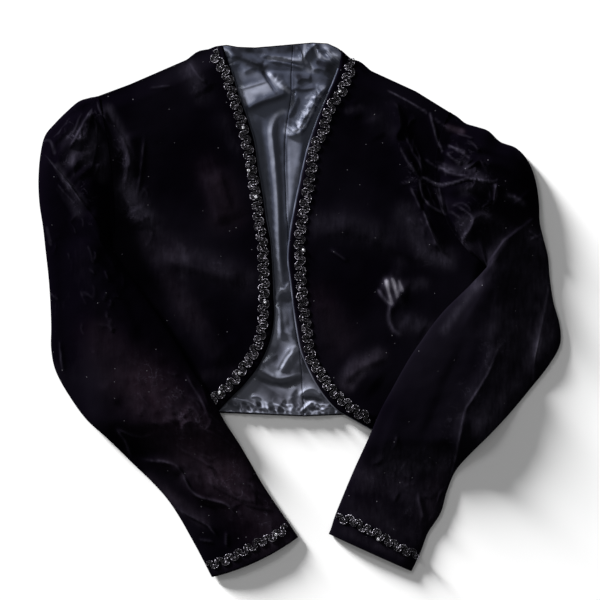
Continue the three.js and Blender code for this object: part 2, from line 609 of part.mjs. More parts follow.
// ---- trim that follows a piece's own top faces ---------------------------------------------------
// height of a triangulated surface above a point: the highest of the faces that cover it
function surfaceHeight(triangles, x, y) {
  let best = -Infinity;
  for (const [a, b, c] of triangles) {
    const det = (b[1] - c[1]) * (a[0] - c[0]) + (c[0] - b[0]) * (a[1] - c[1]);
    if (Math.abs(det) < 1e-9) {
      continue;
    }
    const u = ((b[1] - c[1]) * (x - c[0]) + (c[0] - b[0]) * (y - c[1])) / det;
    const v = ((c[1] - a[1]) * (x - c[0]) + (a[0] - c[0]) * (y - c[1])) / det;
    const w = 1 - u - v;
    if (u >= -1e-6 && v >= -1e-6 && w >= -1e-6) {
      best = Math.max(best, u * a[2] + v * b[2] + w * c[2]);
    }
  }
  return best;
}

function wallTriangles(grid) {
  const point = (p) => [p.x, p.y, p.top];
  const triangles = [];
  for (let r = 0; r + 1 < grid.length; r += 1) {
    for (let c = 0; c + 1 < grid[0].length; c += 1) {
      const [a, b, d, e] = [grid[r][c], grid[r + 1][c], grid[r + 1][c + 1], grid[r][c + 1]].map(point);
      triangles.push([a, b, d], [a, d, e]);
    }
  }
  return triangles;
}

// the braid's centre line, measured out in equal steps
function evenSteps(points, step) {
  const fine = [];
  for (let i = 0; i < (points.length - 1) * 20; i += 1) {
    fine.push(throughPoints(points, i / 20));
  }
  fine.push(points[points.length - 1]);
  const length = fine.slice(1).reduce((sum, p, i) => sum + Math.hypot(p[0] - fine[i][0], p[1] - fine[i][1]), 0);
  const count = Math.round(length / step);
  const out = [];
  let walked = 0;
  for (let i = 0; i + 1 < fine.length; i += 1) {
    const piece = Math.hypot(fine[i + 1][0] - fine[i][0], fine[i + 1][1] - fine[i][1]);
    while (out.length < count && (out.length * length) / count <= walked + piece) {
      out.push(mix(fine[i], fine[i + 1], ((out.length * length) / count - walked) / piece));
    }
    walked += piece;
  }
  out.push(points[points.length - 1]);
  return out;
}

// a scalloped strip: its two sides swell in turn, as the scrolls of the gimp do
function buildBraid(name, points, triangles, half) {
  const line = evenSteps(points, BRAID.pitch / BRAID.steps);
  const grid = line.map((p, i) => {
    const before = line[Math.max(i - 1, 0)];
    const after = line[Math.min(i + 1, line.length - 1)];
    const length = Math.hypot(after[0] - before[0], after[1] - before[1]);
    const nx = -(after[1] - before[1]) / length;
    const ny = (after[0] - before[0]) / length;
    const swell = BRAID.scallop * Math.cos((2 * Math.PI * i) / BRAID.steps);
    const middle = surfaceHeight(triangles, p[0], p[1]);
    return [-(half - swell), half + swell].map((offset) => {
      const x = p[0] + nx * offset;
      const y = p[1] + ny * offset;
      const here = BRAID_FEET.map(([fx, fy]) => surfaceHeight(triangles, x + fx, y + fy));
      const under = Math.max(middle - 0.6, ...here) + BRAID.clear;
      return { x, y, top: under + BRAID.thick, under };
    });
  });
  addWall(name, grid, GIMP);
}

// the rolled edge of the lining, just proud of a front's free edge and under it
const ROLL = { proud: 1.1, under: 6, firstRow: 4 };
function buildLiningEdge(side) {
  const turn = side === 'right' ? 1 : -1;
  const grid = frontRows(side).slice(ROLL.firstRow).map(({ edge, outer }) => {
    const length = Math.hypot(outer[0] - edge[0], outer[1] - edge[1]);
    const direction = [(edge[0] - outer[0]) / length, (edge[1] - outer[1]) / length];
    const row = [ROLL.proud, -ROLL.under].map((offset) => {
      const x = edge[0] + direction[0] * offset;
      const y = edge[1] + direction[1] * offset;
      const top = Math.min(frontRest(side, edge[0], edge[1]), frontRest(side, x, y)) - SEAM_GAP;
      return { x, y, top, under: top - LINING_WALL };
    });
    return turn > 0 ? row.reverse() : row;
  });
  addWall(`lining_front_${side}`, grid, SATIN);
}

// ---- the jacket ---------------------------------------------------------------------------------
buildBack();
for (const side of ['right', 'left']) {
  buildBackLining(side);
  const front = frontGrid(side);
  addWall(`front_${side}`, front, VELVET);
  buildLiningEdge(side);
  const braid = side === 'right' ? RIGHT_BRAID : LEFT_BRAID;
  buildBraid(`braid_front_${side}`, braid, wallTriangles(front), BRAID.half);
  const sleeve = buildSleeve(side);
  const cuff = side === 'right' ? RIGHT_CUFF_BRAID : LEFT_CUFF_BRAID;
  const top = sleeve.faces.map((face) => face.map((i) => sleeve.positions[i]));
  buildBraid(`braid_cuff_${side}`, cuff, top, BRAID.half - 0.6);
}

export default jacket;
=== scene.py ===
# %% [markdown]
# # A black velvet bolero, laid out flat
# The jacket lies open on its back: a velvet back with a slate satin lining, two fronts with rounded
# corners, long sleeves gathered at the head and folded in over the fronts, and scroll gimp braid
# along the front edges and the cuffs. Cloth could be draped by a simulation, but a garment laid out
# by hand has folds that somebody put there. So every piece here is a thin wall or a tube of cloth,
# worked out from the seams of the cut, and its creases are placed one by one.

# %% The shared frame, and the tools this lesson uses
import json
import math

import bpy
import numpy as np
from mathutils import Vector, noise
from mathutils.bvhtree import BVHTree
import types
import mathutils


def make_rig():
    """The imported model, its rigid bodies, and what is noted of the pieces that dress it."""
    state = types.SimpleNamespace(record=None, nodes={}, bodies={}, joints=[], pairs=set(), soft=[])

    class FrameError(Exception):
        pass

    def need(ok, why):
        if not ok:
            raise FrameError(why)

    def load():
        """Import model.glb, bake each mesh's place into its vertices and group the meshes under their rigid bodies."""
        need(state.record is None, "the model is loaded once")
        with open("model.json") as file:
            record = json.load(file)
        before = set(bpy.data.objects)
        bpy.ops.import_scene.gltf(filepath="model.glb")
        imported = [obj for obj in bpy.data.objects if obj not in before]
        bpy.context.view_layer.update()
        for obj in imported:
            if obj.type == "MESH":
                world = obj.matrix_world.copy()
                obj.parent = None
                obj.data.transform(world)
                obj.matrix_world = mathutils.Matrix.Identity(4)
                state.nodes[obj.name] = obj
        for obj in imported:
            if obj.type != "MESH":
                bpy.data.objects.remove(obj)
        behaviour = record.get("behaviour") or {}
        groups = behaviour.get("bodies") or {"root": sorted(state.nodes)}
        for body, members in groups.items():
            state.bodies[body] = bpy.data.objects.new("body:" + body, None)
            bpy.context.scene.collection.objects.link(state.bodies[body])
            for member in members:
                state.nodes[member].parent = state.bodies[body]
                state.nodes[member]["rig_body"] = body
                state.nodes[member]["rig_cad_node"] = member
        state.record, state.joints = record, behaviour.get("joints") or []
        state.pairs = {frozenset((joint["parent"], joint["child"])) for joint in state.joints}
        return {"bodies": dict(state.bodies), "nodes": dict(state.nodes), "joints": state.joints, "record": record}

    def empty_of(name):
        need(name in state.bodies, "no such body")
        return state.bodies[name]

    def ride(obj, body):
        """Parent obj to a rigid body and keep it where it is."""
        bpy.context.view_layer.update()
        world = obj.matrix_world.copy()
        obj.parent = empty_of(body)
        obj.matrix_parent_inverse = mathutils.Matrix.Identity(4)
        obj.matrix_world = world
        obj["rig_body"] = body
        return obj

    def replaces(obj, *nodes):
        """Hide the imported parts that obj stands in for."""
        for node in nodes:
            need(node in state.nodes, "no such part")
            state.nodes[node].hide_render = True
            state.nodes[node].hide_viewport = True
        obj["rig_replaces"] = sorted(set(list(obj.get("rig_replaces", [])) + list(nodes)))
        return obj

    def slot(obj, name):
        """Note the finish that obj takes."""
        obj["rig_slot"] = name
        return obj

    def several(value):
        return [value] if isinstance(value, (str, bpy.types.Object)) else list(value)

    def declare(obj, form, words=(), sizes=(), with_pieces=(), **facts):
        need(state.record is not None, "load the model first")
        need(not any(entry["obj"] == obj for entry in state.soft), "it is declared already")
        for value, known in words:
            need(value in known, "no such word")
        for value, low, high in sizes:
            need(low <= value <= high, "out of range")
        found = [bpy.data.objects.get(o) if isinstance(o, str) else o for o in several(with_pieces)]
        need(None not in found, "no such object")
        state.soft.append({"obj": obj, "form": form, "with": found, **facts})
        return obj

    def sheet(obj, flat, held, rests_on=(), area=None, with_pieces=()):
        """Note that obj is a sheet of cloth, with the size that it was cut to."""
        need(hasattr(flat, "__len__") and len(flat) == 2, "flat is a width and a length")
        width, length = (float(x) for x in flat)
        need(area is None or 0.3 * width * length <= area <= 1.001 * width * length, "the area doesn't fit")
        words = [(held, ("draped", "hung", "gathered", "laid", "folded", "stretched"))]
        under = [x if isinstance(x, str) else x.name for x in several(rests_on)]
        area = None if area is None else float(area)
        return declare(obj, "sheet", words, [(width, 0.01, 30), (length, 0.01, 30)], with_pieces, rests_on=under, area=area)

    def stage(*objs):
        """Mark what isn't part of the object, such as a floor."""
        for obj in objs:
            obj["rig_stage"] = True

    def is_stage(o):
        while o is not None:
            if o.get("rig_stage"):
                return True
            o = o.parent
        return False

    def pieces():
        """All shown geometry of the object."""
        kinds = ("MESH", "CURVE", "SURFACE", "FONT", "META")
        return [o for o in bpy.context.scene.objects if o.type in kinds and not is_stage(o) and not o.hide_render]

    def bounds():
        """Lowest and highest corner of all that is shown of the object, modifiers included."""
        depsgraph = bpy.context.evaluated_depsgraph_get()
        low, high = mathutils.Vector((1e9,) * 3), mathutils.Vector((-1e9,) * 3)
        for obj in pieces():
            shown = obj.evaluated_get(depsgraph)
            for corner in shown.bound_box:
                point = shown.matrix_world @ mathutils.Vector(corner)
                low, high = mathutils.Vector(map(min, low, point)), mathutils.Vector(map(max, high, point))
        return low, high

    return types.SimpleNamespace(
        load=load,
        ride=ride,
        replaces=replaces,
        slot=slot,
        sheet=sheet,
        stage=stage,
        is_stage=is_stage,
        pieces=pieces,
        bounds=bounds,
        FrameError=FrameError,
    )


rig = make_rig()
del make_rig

MM = 0.001
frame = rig.load()
cad_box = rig.bounds()
print("jacket in millimetres:", [round((hi - lo) / MM) for lo, hi in zip(*cad_box)])

# %% [markdown]
# ## The camera
# A garment laid out for a catalogue is seen from straight above. The camera hangs high with a long
# lens, so the thick sleeves and the flat hem keep the same scale. An orthographic camera would do
# that too, but a long lens still shows a little of the sleeves' sides.

# %% Camera
VIEW_WIDE = 0.660
VIEW_MIDDLE = (0.0005, 0.011)
CAMERA_HIGH = 2.4
SENSOR = 36.0

camera_data = bpy.data.cameras.new("overhead")
camera_data.sensor_width = SENSOR
camera_data.lens = SENSOR * CAMERA_HIGH / VIEW_WIDE
camera = bpy.data.objects.new("overhead", camera_data)
camera.location = (*VIEW_MIDDLE, CAMERA_HIGH)
bpy.context.scene.collection.objects.link(camera)
bpy.context.scene.camera = camera
print("lens in millimetres:", round(camera_data.lens))

# %% [markdown]
# ## The light
# An image of a studio wrapped round the scene would light it evenly, and evenly lit velvet is only
# black. Low light shows the nap of velvet and the creases of satin, so a sun stands low at the
# upper left. Its wide angle makes the soft shadow to the lower right. Satin would mirror the sun as
# white spots, so the sun is hidden from reflections, and a square softbox gives the shine instead.

# %% Lamps and the room's light
SUN_TOWARDS = Vector((0.70, -0.70, -0.155))
SUN_STRENGTH = 17.0
SUN_ANGLE = math.radians(10.5)
SOFTBOX_AT = Vector((-0.75, 0.85, 1.0))
SOFTBOX_SIZE = 0.4
SOFTBOX_POWER = 4.2
ROOM_LIGHT = 0.22


def hang_lamp(name, kind, power, towards):
    """Put a lamp into the scene, turned so that it shines in one direction."""
    lamp = bpy.data.lights.new(name, kind)
    lamp.energy = power
    holder = bpy.data.objects.new(name, lamp)
    holder.rotation_euler = towards.to_track_quat("-Z", "Y").to_euler()
    bpy.context.scene.collection.objects.link(holder)
    return lamp, holder


sun, sun_holder = hang_lamp("key", "SUN", SUN_STRENGTH, SUN_TOWARDS)
sun.angle = SUN_ANGLE
sun_holder.visible_glossy = False

softbox, softbox_holder = hang_lamp("softbox", "AREA", SOFTBOX_POWER, -SOFTBOX_AT)
softbox.shape = "SQUARE"
softbox.size = SOFTBOX_SIZE
softbox_holder.location = SOFTBOX_AT

world = bpy.data.worlds.new("studio")
world.use_nodes = True
world.node_tree.nodes["Background"].inputs["Color"].default_value = (1, 1, 1, 1)
world.node_tree.nodes["Background"].inputs["Strength"].default_value = ROOM_LIGHT
bpy.context.scene.world = world
bpy.context.scene.view_settings.view_transform = "Standard"
print("lamps:", sun.name, softbox.name)

# %% [markdown]
# ## The cut
# A tailor starts from a paper pattern, and so does this lesson. All sizes are millimetres, and turn
# into metres when a mesh is made. A row of the body table runs across the jacket from one side seam
# to the other, at the height where it ends on the side seam, the armhole or the shoulder. Modelling
# each piece by eye would leave gaps at the seams, while pieces that share these rows always meet.
# Sides are the wearer's, so the right front is at negative X.

# %% The body, from neck to hem
# right and left are the outer sides, the edges are the free edges of the two fronts, centre is the
# back seam of the lining, and hole is a share down the armhole, where a row ends on it
BODY_ROWS = [
    dict(right=(-102, 286), right_edge=(-84, 290), centre=(-7, 289), left_edge=(46, 285), left=(57, 275)),
    dict(right=(-126, 274), right_edge=(-80, 277), centre=(-8, 274), left_edge=(45, 275), left=(80, 262)),
    dict(right=(-156, 261), right_edge=(-75, 263), centre=(-9, 257), left_edge=(43, 265), left=(104, 251)),
    dict(right=(-186, 248), right_edge=(-70, 246), centre=(-9, 241), left_edge=(39, 254), left=(128, 240)),
    dict(hole=0.00, right_edge=(-64, 229), centre=(-11, 223), left_edge=(33, 240)),
    dict(hole=0.16, right_edge=(-57, 209), centre=(-14, 203), left_edge=(24, 219)),
    dict(hole=0.33, right_edge=(-50, 185), centre=(-16, 180), left_edge=(15, 195)),
    dict(hole=0.50, right_edge=(-46, 158), centre=(-16, 155), left_edge=(7, 168)),
    dict(hole=0.67, right_edge=(-41, 130), centre=(-15, 130), left_edge=(1, 140)),
    dict(hole=0.84, right_edge=(-37, 101), centre=(-14, 104), left_edge=(-5, 111)),
    dict(hole=1.00, right_edge=(-32, 74), centre=(-12, 78), left_edge=(-10, 82)),
    dict(right=(-216, 53), right_edge=(-30, 46), centre=(-10, 52), left_edge=(-12, 56), left=(212, 42)),
    dict(right=(-215, 22), right_edge=(-29, 20), centre=(-9, 26), left_edge=(-9, 30), left=(208, 22)),
    dict(right=(-213, -9), right_edge=(-28, -6), centre=(-6, 0), left_edge=(-6, 3), left=(204, -2)),
    dict(right=(-211, -35), right_edge=(-31, -28), centre=(-4, -24), left_edge=(-2, -24), left=(202, -24)),
    dict(right=(-208, -57), right_edge=(-38, -48), centre=(0, -45), left_edge=(3, -47), left=(200, -44)),
    dict(right=(-206, -77), right_edge=(-48, -66), centre=(2, -66), left_edge=(13, -70), left=(199, -66)),
    dict(right=(-205, -91), right_edge=(-62, -83), centre=(3, -84), left_edge=(24, -89), left=(197, -84)),
    dict(right=(-204, -102), right_edge=(-77, -98), centre=(4, -98), left_edge=(40, -108), left=(196, -98)),
]
BACK_HEM = dict(right=(-203, -108), centre=(5, -117), left=(196, -109))
FRONT_HEM = dict(
    right=[dict(edge=(-88, -110), outer=(-203, -112))],
    left=[dict(edge=(58, -119), outer=(196, -111)), dict(edge=(79, -131), outer=(196, -131))],
)
ARMHOLES = dict(
    right=dict(start=(-222.7, 234.3), end=(-205.2, 70.4), bow=6),
    left=dict(start=(165.6, 216.7), end=(204.1, 48.4), bow=33),
)
NECK_EDGE = [
    (-102, 286), (-92, 290), (-80, 291.5), (-68, 289.3), (-49, 288.6), (-27, 290.4), (-5, 292.4),
    (14, 294), (31, 293), (42, 288), (50, 282), (57, 275),
]
LAST_ROW = len(BODY_ROWS) - 1
SIDES = ("right", "left")
print("rows of the body:", len(BODY_ROWS), "- points along the neck:", len(NECK_EDGE))

# %% [markdown]
# ## Small helpers
# A smooth curve through the rows of a table, a soft step, the distance from many points to a line,
# and even noise. Blender has curves and textures for all of these, but here NumPy works on whole
# grids of points at once, which keeps the lesson short and quick to run.

# %% Soft steps and smooth lines


def ease(t):
    """A soft step from 0 to 1."""
    t = np.clip(t, 0, 1)
    return t * t * (3 - 2 * t)


def through(values, t):
    """Smooth values through the rows of a table, at the row positions t."""
    values = np.asarray(values, float)
    t = np.asarray(t, float)
    last = len(values) - 1
    i = np.clip(np.floor(t).astype(int), 0, last - 1)
    f = (t - i).reshape(t.shape + (1,) * (values.ndim - 1))
    before, here = values[np.clip(i - 1, 0, last)], values[i]
    after, later = values[i + 1], values[np.clip(i + 2, 0, last)]
    slope_here, slope_after = (after - before) / 2, (later - here) / 2
    a = 2 * here - 2 * after + slope_here + slope_after
    b = -3 * here + 3 * after - 2 * slope_here - slope_after
    return ((a * f + b) * f + slope_here) * f + here


def smooth_line(points, parts):
    """A soft line through a few points, with so many parts from one point to the next."""
    last = len(points) - 1
    if last < 2:
        return np.asarray(points, float)
    return through(points, np.linspace(0, last, last * parts + 1))


print("a soft step, in quarters:", ease(np.linspace(0, 1, 5)).round(2))

# %% How far a place is from a line


def line_distance(x, y, line):
    """Distance, side (+ to the left of the line) and place (0 to 1) of points beside a line."""
    line = np.asarray(line, float)
    steps = np.hypot(*np.diff(line, axis=0).T)
    starts = np.concatenate([[0], np.cumsum(steps)])
    best = np.full(x.shape, np.inf)
    side = np.zeros(x.shape)
    place = np.zeros(x.shape)
    for (ax, ay), (bx, by), start, step in zip(line[:-1], line[1:], starts, steps):
        dx, dy = bx - ax, by - ay
        f = np.clip(((x - ax) * dx + (y - ay) * dy) / (step * step), 0, 1)
        px, py = x - ax - f * dx, y - ay - f * dy
        d = np.hypot(px, py)
        near = d < best
        best = np.where(near, d, best)
        side = np.where(near, np.sign(dx * py - dy * px), side)
        place = np.where(near, (start + f * step) / starts[-1], place)
    return best, side, place


def close_by(line, reach, x, y):
    """Which points lie near enough to a line to be worth measuring."""
    low, high = line.min(axis=0) - reach, line.max(axis=0) + reach
    return (x > low[0]) & (x < high[0]) & (y > low[1]) & (y < high[1])


beside = line_distance(np.array([3.0]), np.array([4.0]), [(0, 0), (6, 0)])
print("distance, side and place of one point:", [float(value[0]) for value in beside])

# %% Even noise


def ripple(x, y, size, seed):
    """Soft, even noise between about -1 and 1, with waves of about the given size."""
    flat = [noise.noise(Vector((a / size, b / size, seed))) for a, b in zip(x.ravel(), y.ravel())]
    return np.array(flat).reshape(x.shape)


def crinkle(x, y, size, seed):
    """Thin wandering lines, 1 on a line and 0 off it, as sharp creases catch the light."""
    return 1 - np.minimum(1, 5 * np.abs(ripple(x, y, size, seed)))


print("noise at three places:", ripple(np.array([1.0, 2.0, 3.0]), np.zeros(3), 4, 1.0).round(2))

# %% [markdown]
# ## Creases
# A crease in cloth is a soft ridge or trough along a short line. Sculpting gives such creases too,
# but they can't be measured or moved by a number. Here each has its own width and height, and leans
# to one side, because real creases are steep on one side and slack on the other. They fade out at
# their ends. The height of the cloth is the sum of its creases, so a piece of cloth is a list of
# them.

# %% How a crease raises the cloth
CREASE_PARTS = 5


def crease(points, wide, high, lean=0.0, ends=0.25, sharp=2.0):
    """One ridge, or a trough where high is below nought."""
    line = smooth_line(points, CREASE_PARTS)
    return dict(line=line, wide=wide, high=high, lean=lean, ends=ends, sharp=sharp)


def creases(*rows):
    """A list of creases: the points of each, its width, its height, and how far it leans."""
    return [crease(*row) for row in rows]


def crease_height(relief, x, y):
    """The sum of all creases at a place."""
    total = np.zeros(x.shape)
    for c in relief:
        near = close_by(c["line"], 3 * c["wide"] * (1 + abs(c["lean"])), x, y)
        if near.any():
            d, side, place = line_distance(x[near], y[near], c["line"])
            wide = c["wide"] * (1 + side * c["lean"])
            fade = ease(np.minimum(place, 1 - place) / c["ends"] + 0.15)
            total[near] += c["high"] * np.exp(-((d / wide) ** c["sharp"])) * fade
    return total


one_crease = crease([(0, 0), (40, 0)], wide=5, high=2)
across = np.arange(0, 12, 3.0)
print("across one crease:", crease_height([one_crease], np.full(4, 20.0), across).round(2))

# %% [markdown]
# ## Where the cut lies on the table
# The armhole is a bowed seam, and the sleeve must start from exactly the line where the front ends.
# Two curves drawn one over the other would drift apart, so both pieces ask the same functions. They
# turn a row position and a share across the row into a place on the table.

# %% Places on the seams


def bowed(start, end, bow, s, side):
    """A place at share s along a line that bows in towards the middle of the jacket."""
    start, end = np.asarray(start, float), np.asarray(end, float)
    run = end - start
    length = np.hypot(run[..., 0], run[..., 1])[..., None]
    turn = 1 if side == "right" else -1
    normal = np.stack([-run[..., 1], run[..., 0]], axis=-1) / length * turn
    s = np.asarray(s, float)[..., None]
    return start + run * s + normal * np.asarray(bow)[..., None] * 4 * s * (1 - s)


def hole_point(side, s):
    """A place at share s down an armhole."""
    hole = ARMHOLES[side]
    return bowed(hole["start"], hole["end"], hole["bow"], s, side)


def side_point(side, t):
    """A place on the outer side of the body, at row position t."""
    i = int(np.clip(math.floor(t), 0, LAST_ROW - 1))
    f = t - i
    above, below = BODY_ROWS[i], BODY_ROWS[i + 1]
    if "hole" in above and "hole" in below:
        return hole_point(side, above["hole"] + (below["hole"] - above["hole"]) * f)
    ends = [hole_point(side, row["hole"]) if "hole" in row else np.array(row[side], float)
            for row in (above, below)]
    return ends[0] * (1 - f) + ends[1] * f


def column(name):
    """One column of the body's table, from neck to hem."""
    return np.array([row[name] for row in BODY_ROWS], float)


print("right side of the body, at its first row:", side_point("right", 0))

# %% The seams of the body, and its outline
SHOULDER_ROWS = range(5)
UNDERARM_ROW = 11
SIDE_ROWS = range(UNDERARM_ROW, LAST_ROW + 1)
SEAMS = {
    side: [
        [side_point(side, i) for i in SHOULDER_ROWS],
        [side_point(side, i) for i in SIDE_ROWS] + [BACK_HEM[side]],
    ]
    for side in SIDES
}
# down the right side, along the hem, and up the left side
OUTLINE = np.array(
    [side_point("right", t) for t in np.arange(0, LAST_ROW + 0.1, 0.5)]
    + [(-203, -111), (5, -117), (60, -119), (79, -131), (196, -131)]
    + [side_point("left", t) for t in np.arange(LAST_ROW, -0.1, -0.5)]
)


def outside_body(x, y):
    """How far points lie outside the body's outline, 0 within it."""
    ring = np.vstack([OUTLINE, OUTLINE[:1]])
    inside = np.zeros(x.shape, bool)
    for (ax, ay), (bx, by) in zip(ring[:-1], ring[1:]):
        if ay != by:
            crosses = (ay > y) != (by > y)
            inside ^= crosses & (x < ax + (y - ay) / (by - ay) * (bx - ax))
    return np.where(inside, 0, line_distance(x, y, ring)[0])


armholes = [np.hypot(*(hole_point(side, 1) - hole_point(side, 0))) for side in SIDES]
print("armholes, from end to end in millimetres:", [round(float(length)) for length in armholes])

# %% [markdown]
# ## Folds and creases of the fronts
# Velvet takes short sharp creases where it was folded in a drawer, and long slack ones where it
# bridges a seam. First come the few large folds, which lift the whole cloth, then the many fine
# creases on its face. A texture of creases would repeat itself, and a listed one sits where a
# crease belongs.

# %% Large folds of the fronts
FRONT_FOLDS = dict(
    right=creases(
        ([(-186, 196), (-184, 150)], 9, 2.2),
        ([(-186, 110), (-176, 92)], 12, 2.4),
        ([(-160, 62), (-60, 30)], 16, 1.6),
        ([(-96, 150), (-72, 96)], 14, 1.4),
        ([(-140, 20), (-70, -60)], 14, 1.2),
        ([(-118, 268), (-98, 240)], 8, 1.4),
    ),
    left=creases(
        ([(104, 232), (112, 190)], 8, 2.2),
        ([(112, 190), (134, 120)], 10, 2.6),
        ([(134, 120), (156, 66)], 10, 2),
        ([(90, 30), (116, 14)], 13, 2.2),
        ([(40, 96), (96, 84)], 14, 1.4),
        ([(50, -56), (88, -84)], 14, 1.6),
    ),
)
print("large folds of the fronts:", {side: len(rows) for side, rows in FRONT_FOLDS.items()})

# %% Fine creases of the fronts
FRONT_CREASES = dict(
    right=creases(
        ([(-216, 234), (-211, 208), (-195, 189), (-186, 165), (-188, 152), (-193, 129), (-195, 117)],
         4.5, 2, -0.5),
        ([(-194, 176), (-196, 141)], 5, -1.8),
        ([(-170, 191), (-173, 162), (-179, 121)], 2, 1, 0.4),
        ([(-195, 132), (-178, 106), (-160, 87)], 8, 1.8, 0.4),
        ([(-122, 272), (-110, 255), (-101, 248)], 2.2, 1.3, 0.4),
        ([(-127, 258), (-110, 233)], 6, 0.9),
        ([(-165, 244), (-141, 246)], 3, 0.7),
        ([(-106, 153), (-95, 125), (-86, 92)], 7, 1.2, 0.3),
        ([(-90, 156), (-75, 108)], 5, 0.8, -0.3),
        ([(-154, 57), (-110, 46), (-57, 29)], 12, 1.5, 0.4),
        ([(-136, 11), (-110, -24), (-86, -68)], 10, 1, -0.4),
        ([(-165, 53), (-130, 11)], 8, 1),
        ([(-105, 11), (-75, -38)], 9, -0.9),
    ),
    left=creases(
        ([(98, 240), (119, 229), (139, 217)], 2.4, 1.1, 0.4),
        ([(105, 228), (111, 200), (107, 187), (121, 166), (130, 147)], 3.4, 1.8, -0.5),
        ([(130, 147), (131, 124), (134, 106)], 3.6, 1.7, -0.5),
        ([(135, 110), (141, 95), (148, 77), (155, 64)], 1.8, 2.2, -0.4),
        ([(114, 194), (123, 176), (136, 152)], 1.7, 1.2, 0.5),
        ([(121, 135), (127, 123), (133, 110)], 1.6, 1.1, 0.4),
        ([(103, 228), (109, 218), (112, 196)], 1.6, 1, -0.3),
        ([(125, 183), (132, 165), (134, 147)], 1.7, 0.8, 0.3),
        ([(77, 211), (88, 187)], 9, 0.8),
        ([(34, 66), (53, 53)], 2.2, 1, 0.3),
        ([(13, 81), (55, 90), (110, 66), (154, 53)], 14, 1.5, 0.4),
        ([(100, 8), (98, -10), (105, -23), (114, -30)], 2.4, 0.8, 0.5),
        ([(114, -11), (138, -24)], 10, 1),
        ([(46, -81), (68, -62), (97, -51)], 7, 1.2, 0.3),
        ([(20, 11), (33, -44)], 10, 0.7),
        ([(57, 231), (64, 209)], 6, 0.7),
    ),
)
print("creases of the fronts:", {side: len(rows) for side, rows in FRONT_CREASES.items()})

# %% [markdown]
# ## Folds and creases of the sleeves
# A sleeve folds over itself at the elbow, bunches at the head and crumples along the forearm. It
# could be bent with an armature, but a bent tube pinches evenly, and a real one creases where it
# was pressed.

# %% Large folds of the sleeves
SLEEVE_FOLDS = dict(
    right=creases(
        ([(-281, 172), (-228, 110)], 7, 2.4),
        ([(-228, 110), (-202, 62)], 7, 2),
        ([(-224, 214), (-250, 176)], 7, 2.4),
        ([(-206, 190), (-214, 150)], 7, 2),
        ([(-172, -162), (-128, -178)], 7, 1.6),
        ([(-128, -178), (-100, -212)], 7, 1.8),
        ([(-124, -70), (-90, -124)], 9, 1),
    ),
    left=creases(
        ([(134, 142), (214, 138)], 7, 3),
        ([(214, 138), (212, 116)], 6, 2.4),
        ([(168, 116), (192, 76)], 8, 2.4),
        ([(240, 92), (196, 38)], 8, 2.2),
        ([(218, -38), (182, -112)], 8, 1.6),
        ([(182, -112), (168, -184)], 7, 1.6),
        ([(274, 22), (258, -74)], 6, 1.4),
    ),
)
print("large folds of the sleeves:", {side: len(rows) for side, rows in SLEEVE_FOLDS.items()})

# %% Fine creases of the right sleeve
SLEEVE_CREASES = {}
SLEEVE_CREASES["right"] = creases(
    ([(-227, 223), (-238, 200), (-251, 176)], 3.2, 1.7, 0.5),
    ([(-227, 223), (-231, 200), (-233, 187)], 2.6, 1.8, -0.4),
    ([(-238, 218), (-246, 196), (-257, 185)], 3, 1, 0.4),
    ([(-224, 211), (-222, 187), (-227, 156)], 3, 2, -0.5),
    ([(-251, 211), (-264, 194), (-273, 187)], 3, 0.7, 0.3),
    ([(-216, 218), (-207, 193), (-200, 165)], 3.6, 1.8, 0.4),
    ([(-282, 174), (-265, 155), (-251, 138), (-231, 109)], 1.8, 1.7, -0.5),
    ([(-265, 138), (-243, 113)], 1.6, 0.9, 0.4),
    ([(-255, 145), (-235, 117)], 2, 0.8, -0.4),
    ([(-230, 106), (-216, 77), (-196, 37)], 7, 1.3, 0.5),
    ([(-220, 53), (-196, 11), (-176, -33)], 10, 1.2, -0.4),
    ([(-200, -130), (-190, -146), (-186, -161)], 3, 1.6, 0.4),
    ([(-200, -130), (-174, -139), (-154, -134)], 3.2, 0.9, -0.3),
    ([(-174, -164), (-142, -167), (-129, -178), (-119, -197),
      (-106, -206), (-80, -213), (-68, -229)],
     2.3, 1.8, -0.5),
    ([(-135, -217), (-119, -227), (-100, -237), (-91, -248)], 1.8, 1.5, 0.5),
    ([(-80, -243), (-81, -260)], 1.6, 1.2, 0.3),
    ([(-110, -252), (-94, -254)], 1.6, 1, -0.3),
    ([(-125, -68), (-112, -91), (-98, -114), (-85, -125)], 2.2, 1, 0.5),
    ([(-165, -90), (-141, -119), (-114, -141)], 3.6, 0.8, 0.4),
    ([(-125, -143), (-103, -167), (-86, -198)], 4.5, 1, -0.4),
    ([(-105, -185), (-70, -205), (-42, -211)], 3, 0.8, 0.4),
    ([(-264, -33), (-260, -68)], 2.4, 1.2, 0.5),
    ([(-277, 20), (-264, 11)], 2.6, 0.9, 0.3),
    ([(-216, -81), (-198, -103)], 5, 0.9, 0.3),
    ([(-59, -187), (-42, -216), (-22, -238)], 3.4, 0.8, -0.4),
    ([(-114, -128), (-97, -134), (-70, -150)], 1.8, 0.7, 0.4),
    ([(-134, -150), (-114, -161), (-92, -174)], 1.8, 0.6, -0.3),
    ([(-96, -130), (-101, -147), (-111, -165)], 1.7, 0.6, 0.3),
    ([(-77, -198), (-58, -213), (-25, -220)], 1.9, 0.7, 0.4),
    ([(-66, -189), (-50, -182)], 1.8, 0.5, 0.3),
    ([(-147, -99), (-130, -112), (-121, -130)], 1.8, 0.6, 0.4),
)
print("creases of the right sleeve:", len(SLEEVE_CREASES["right"]))

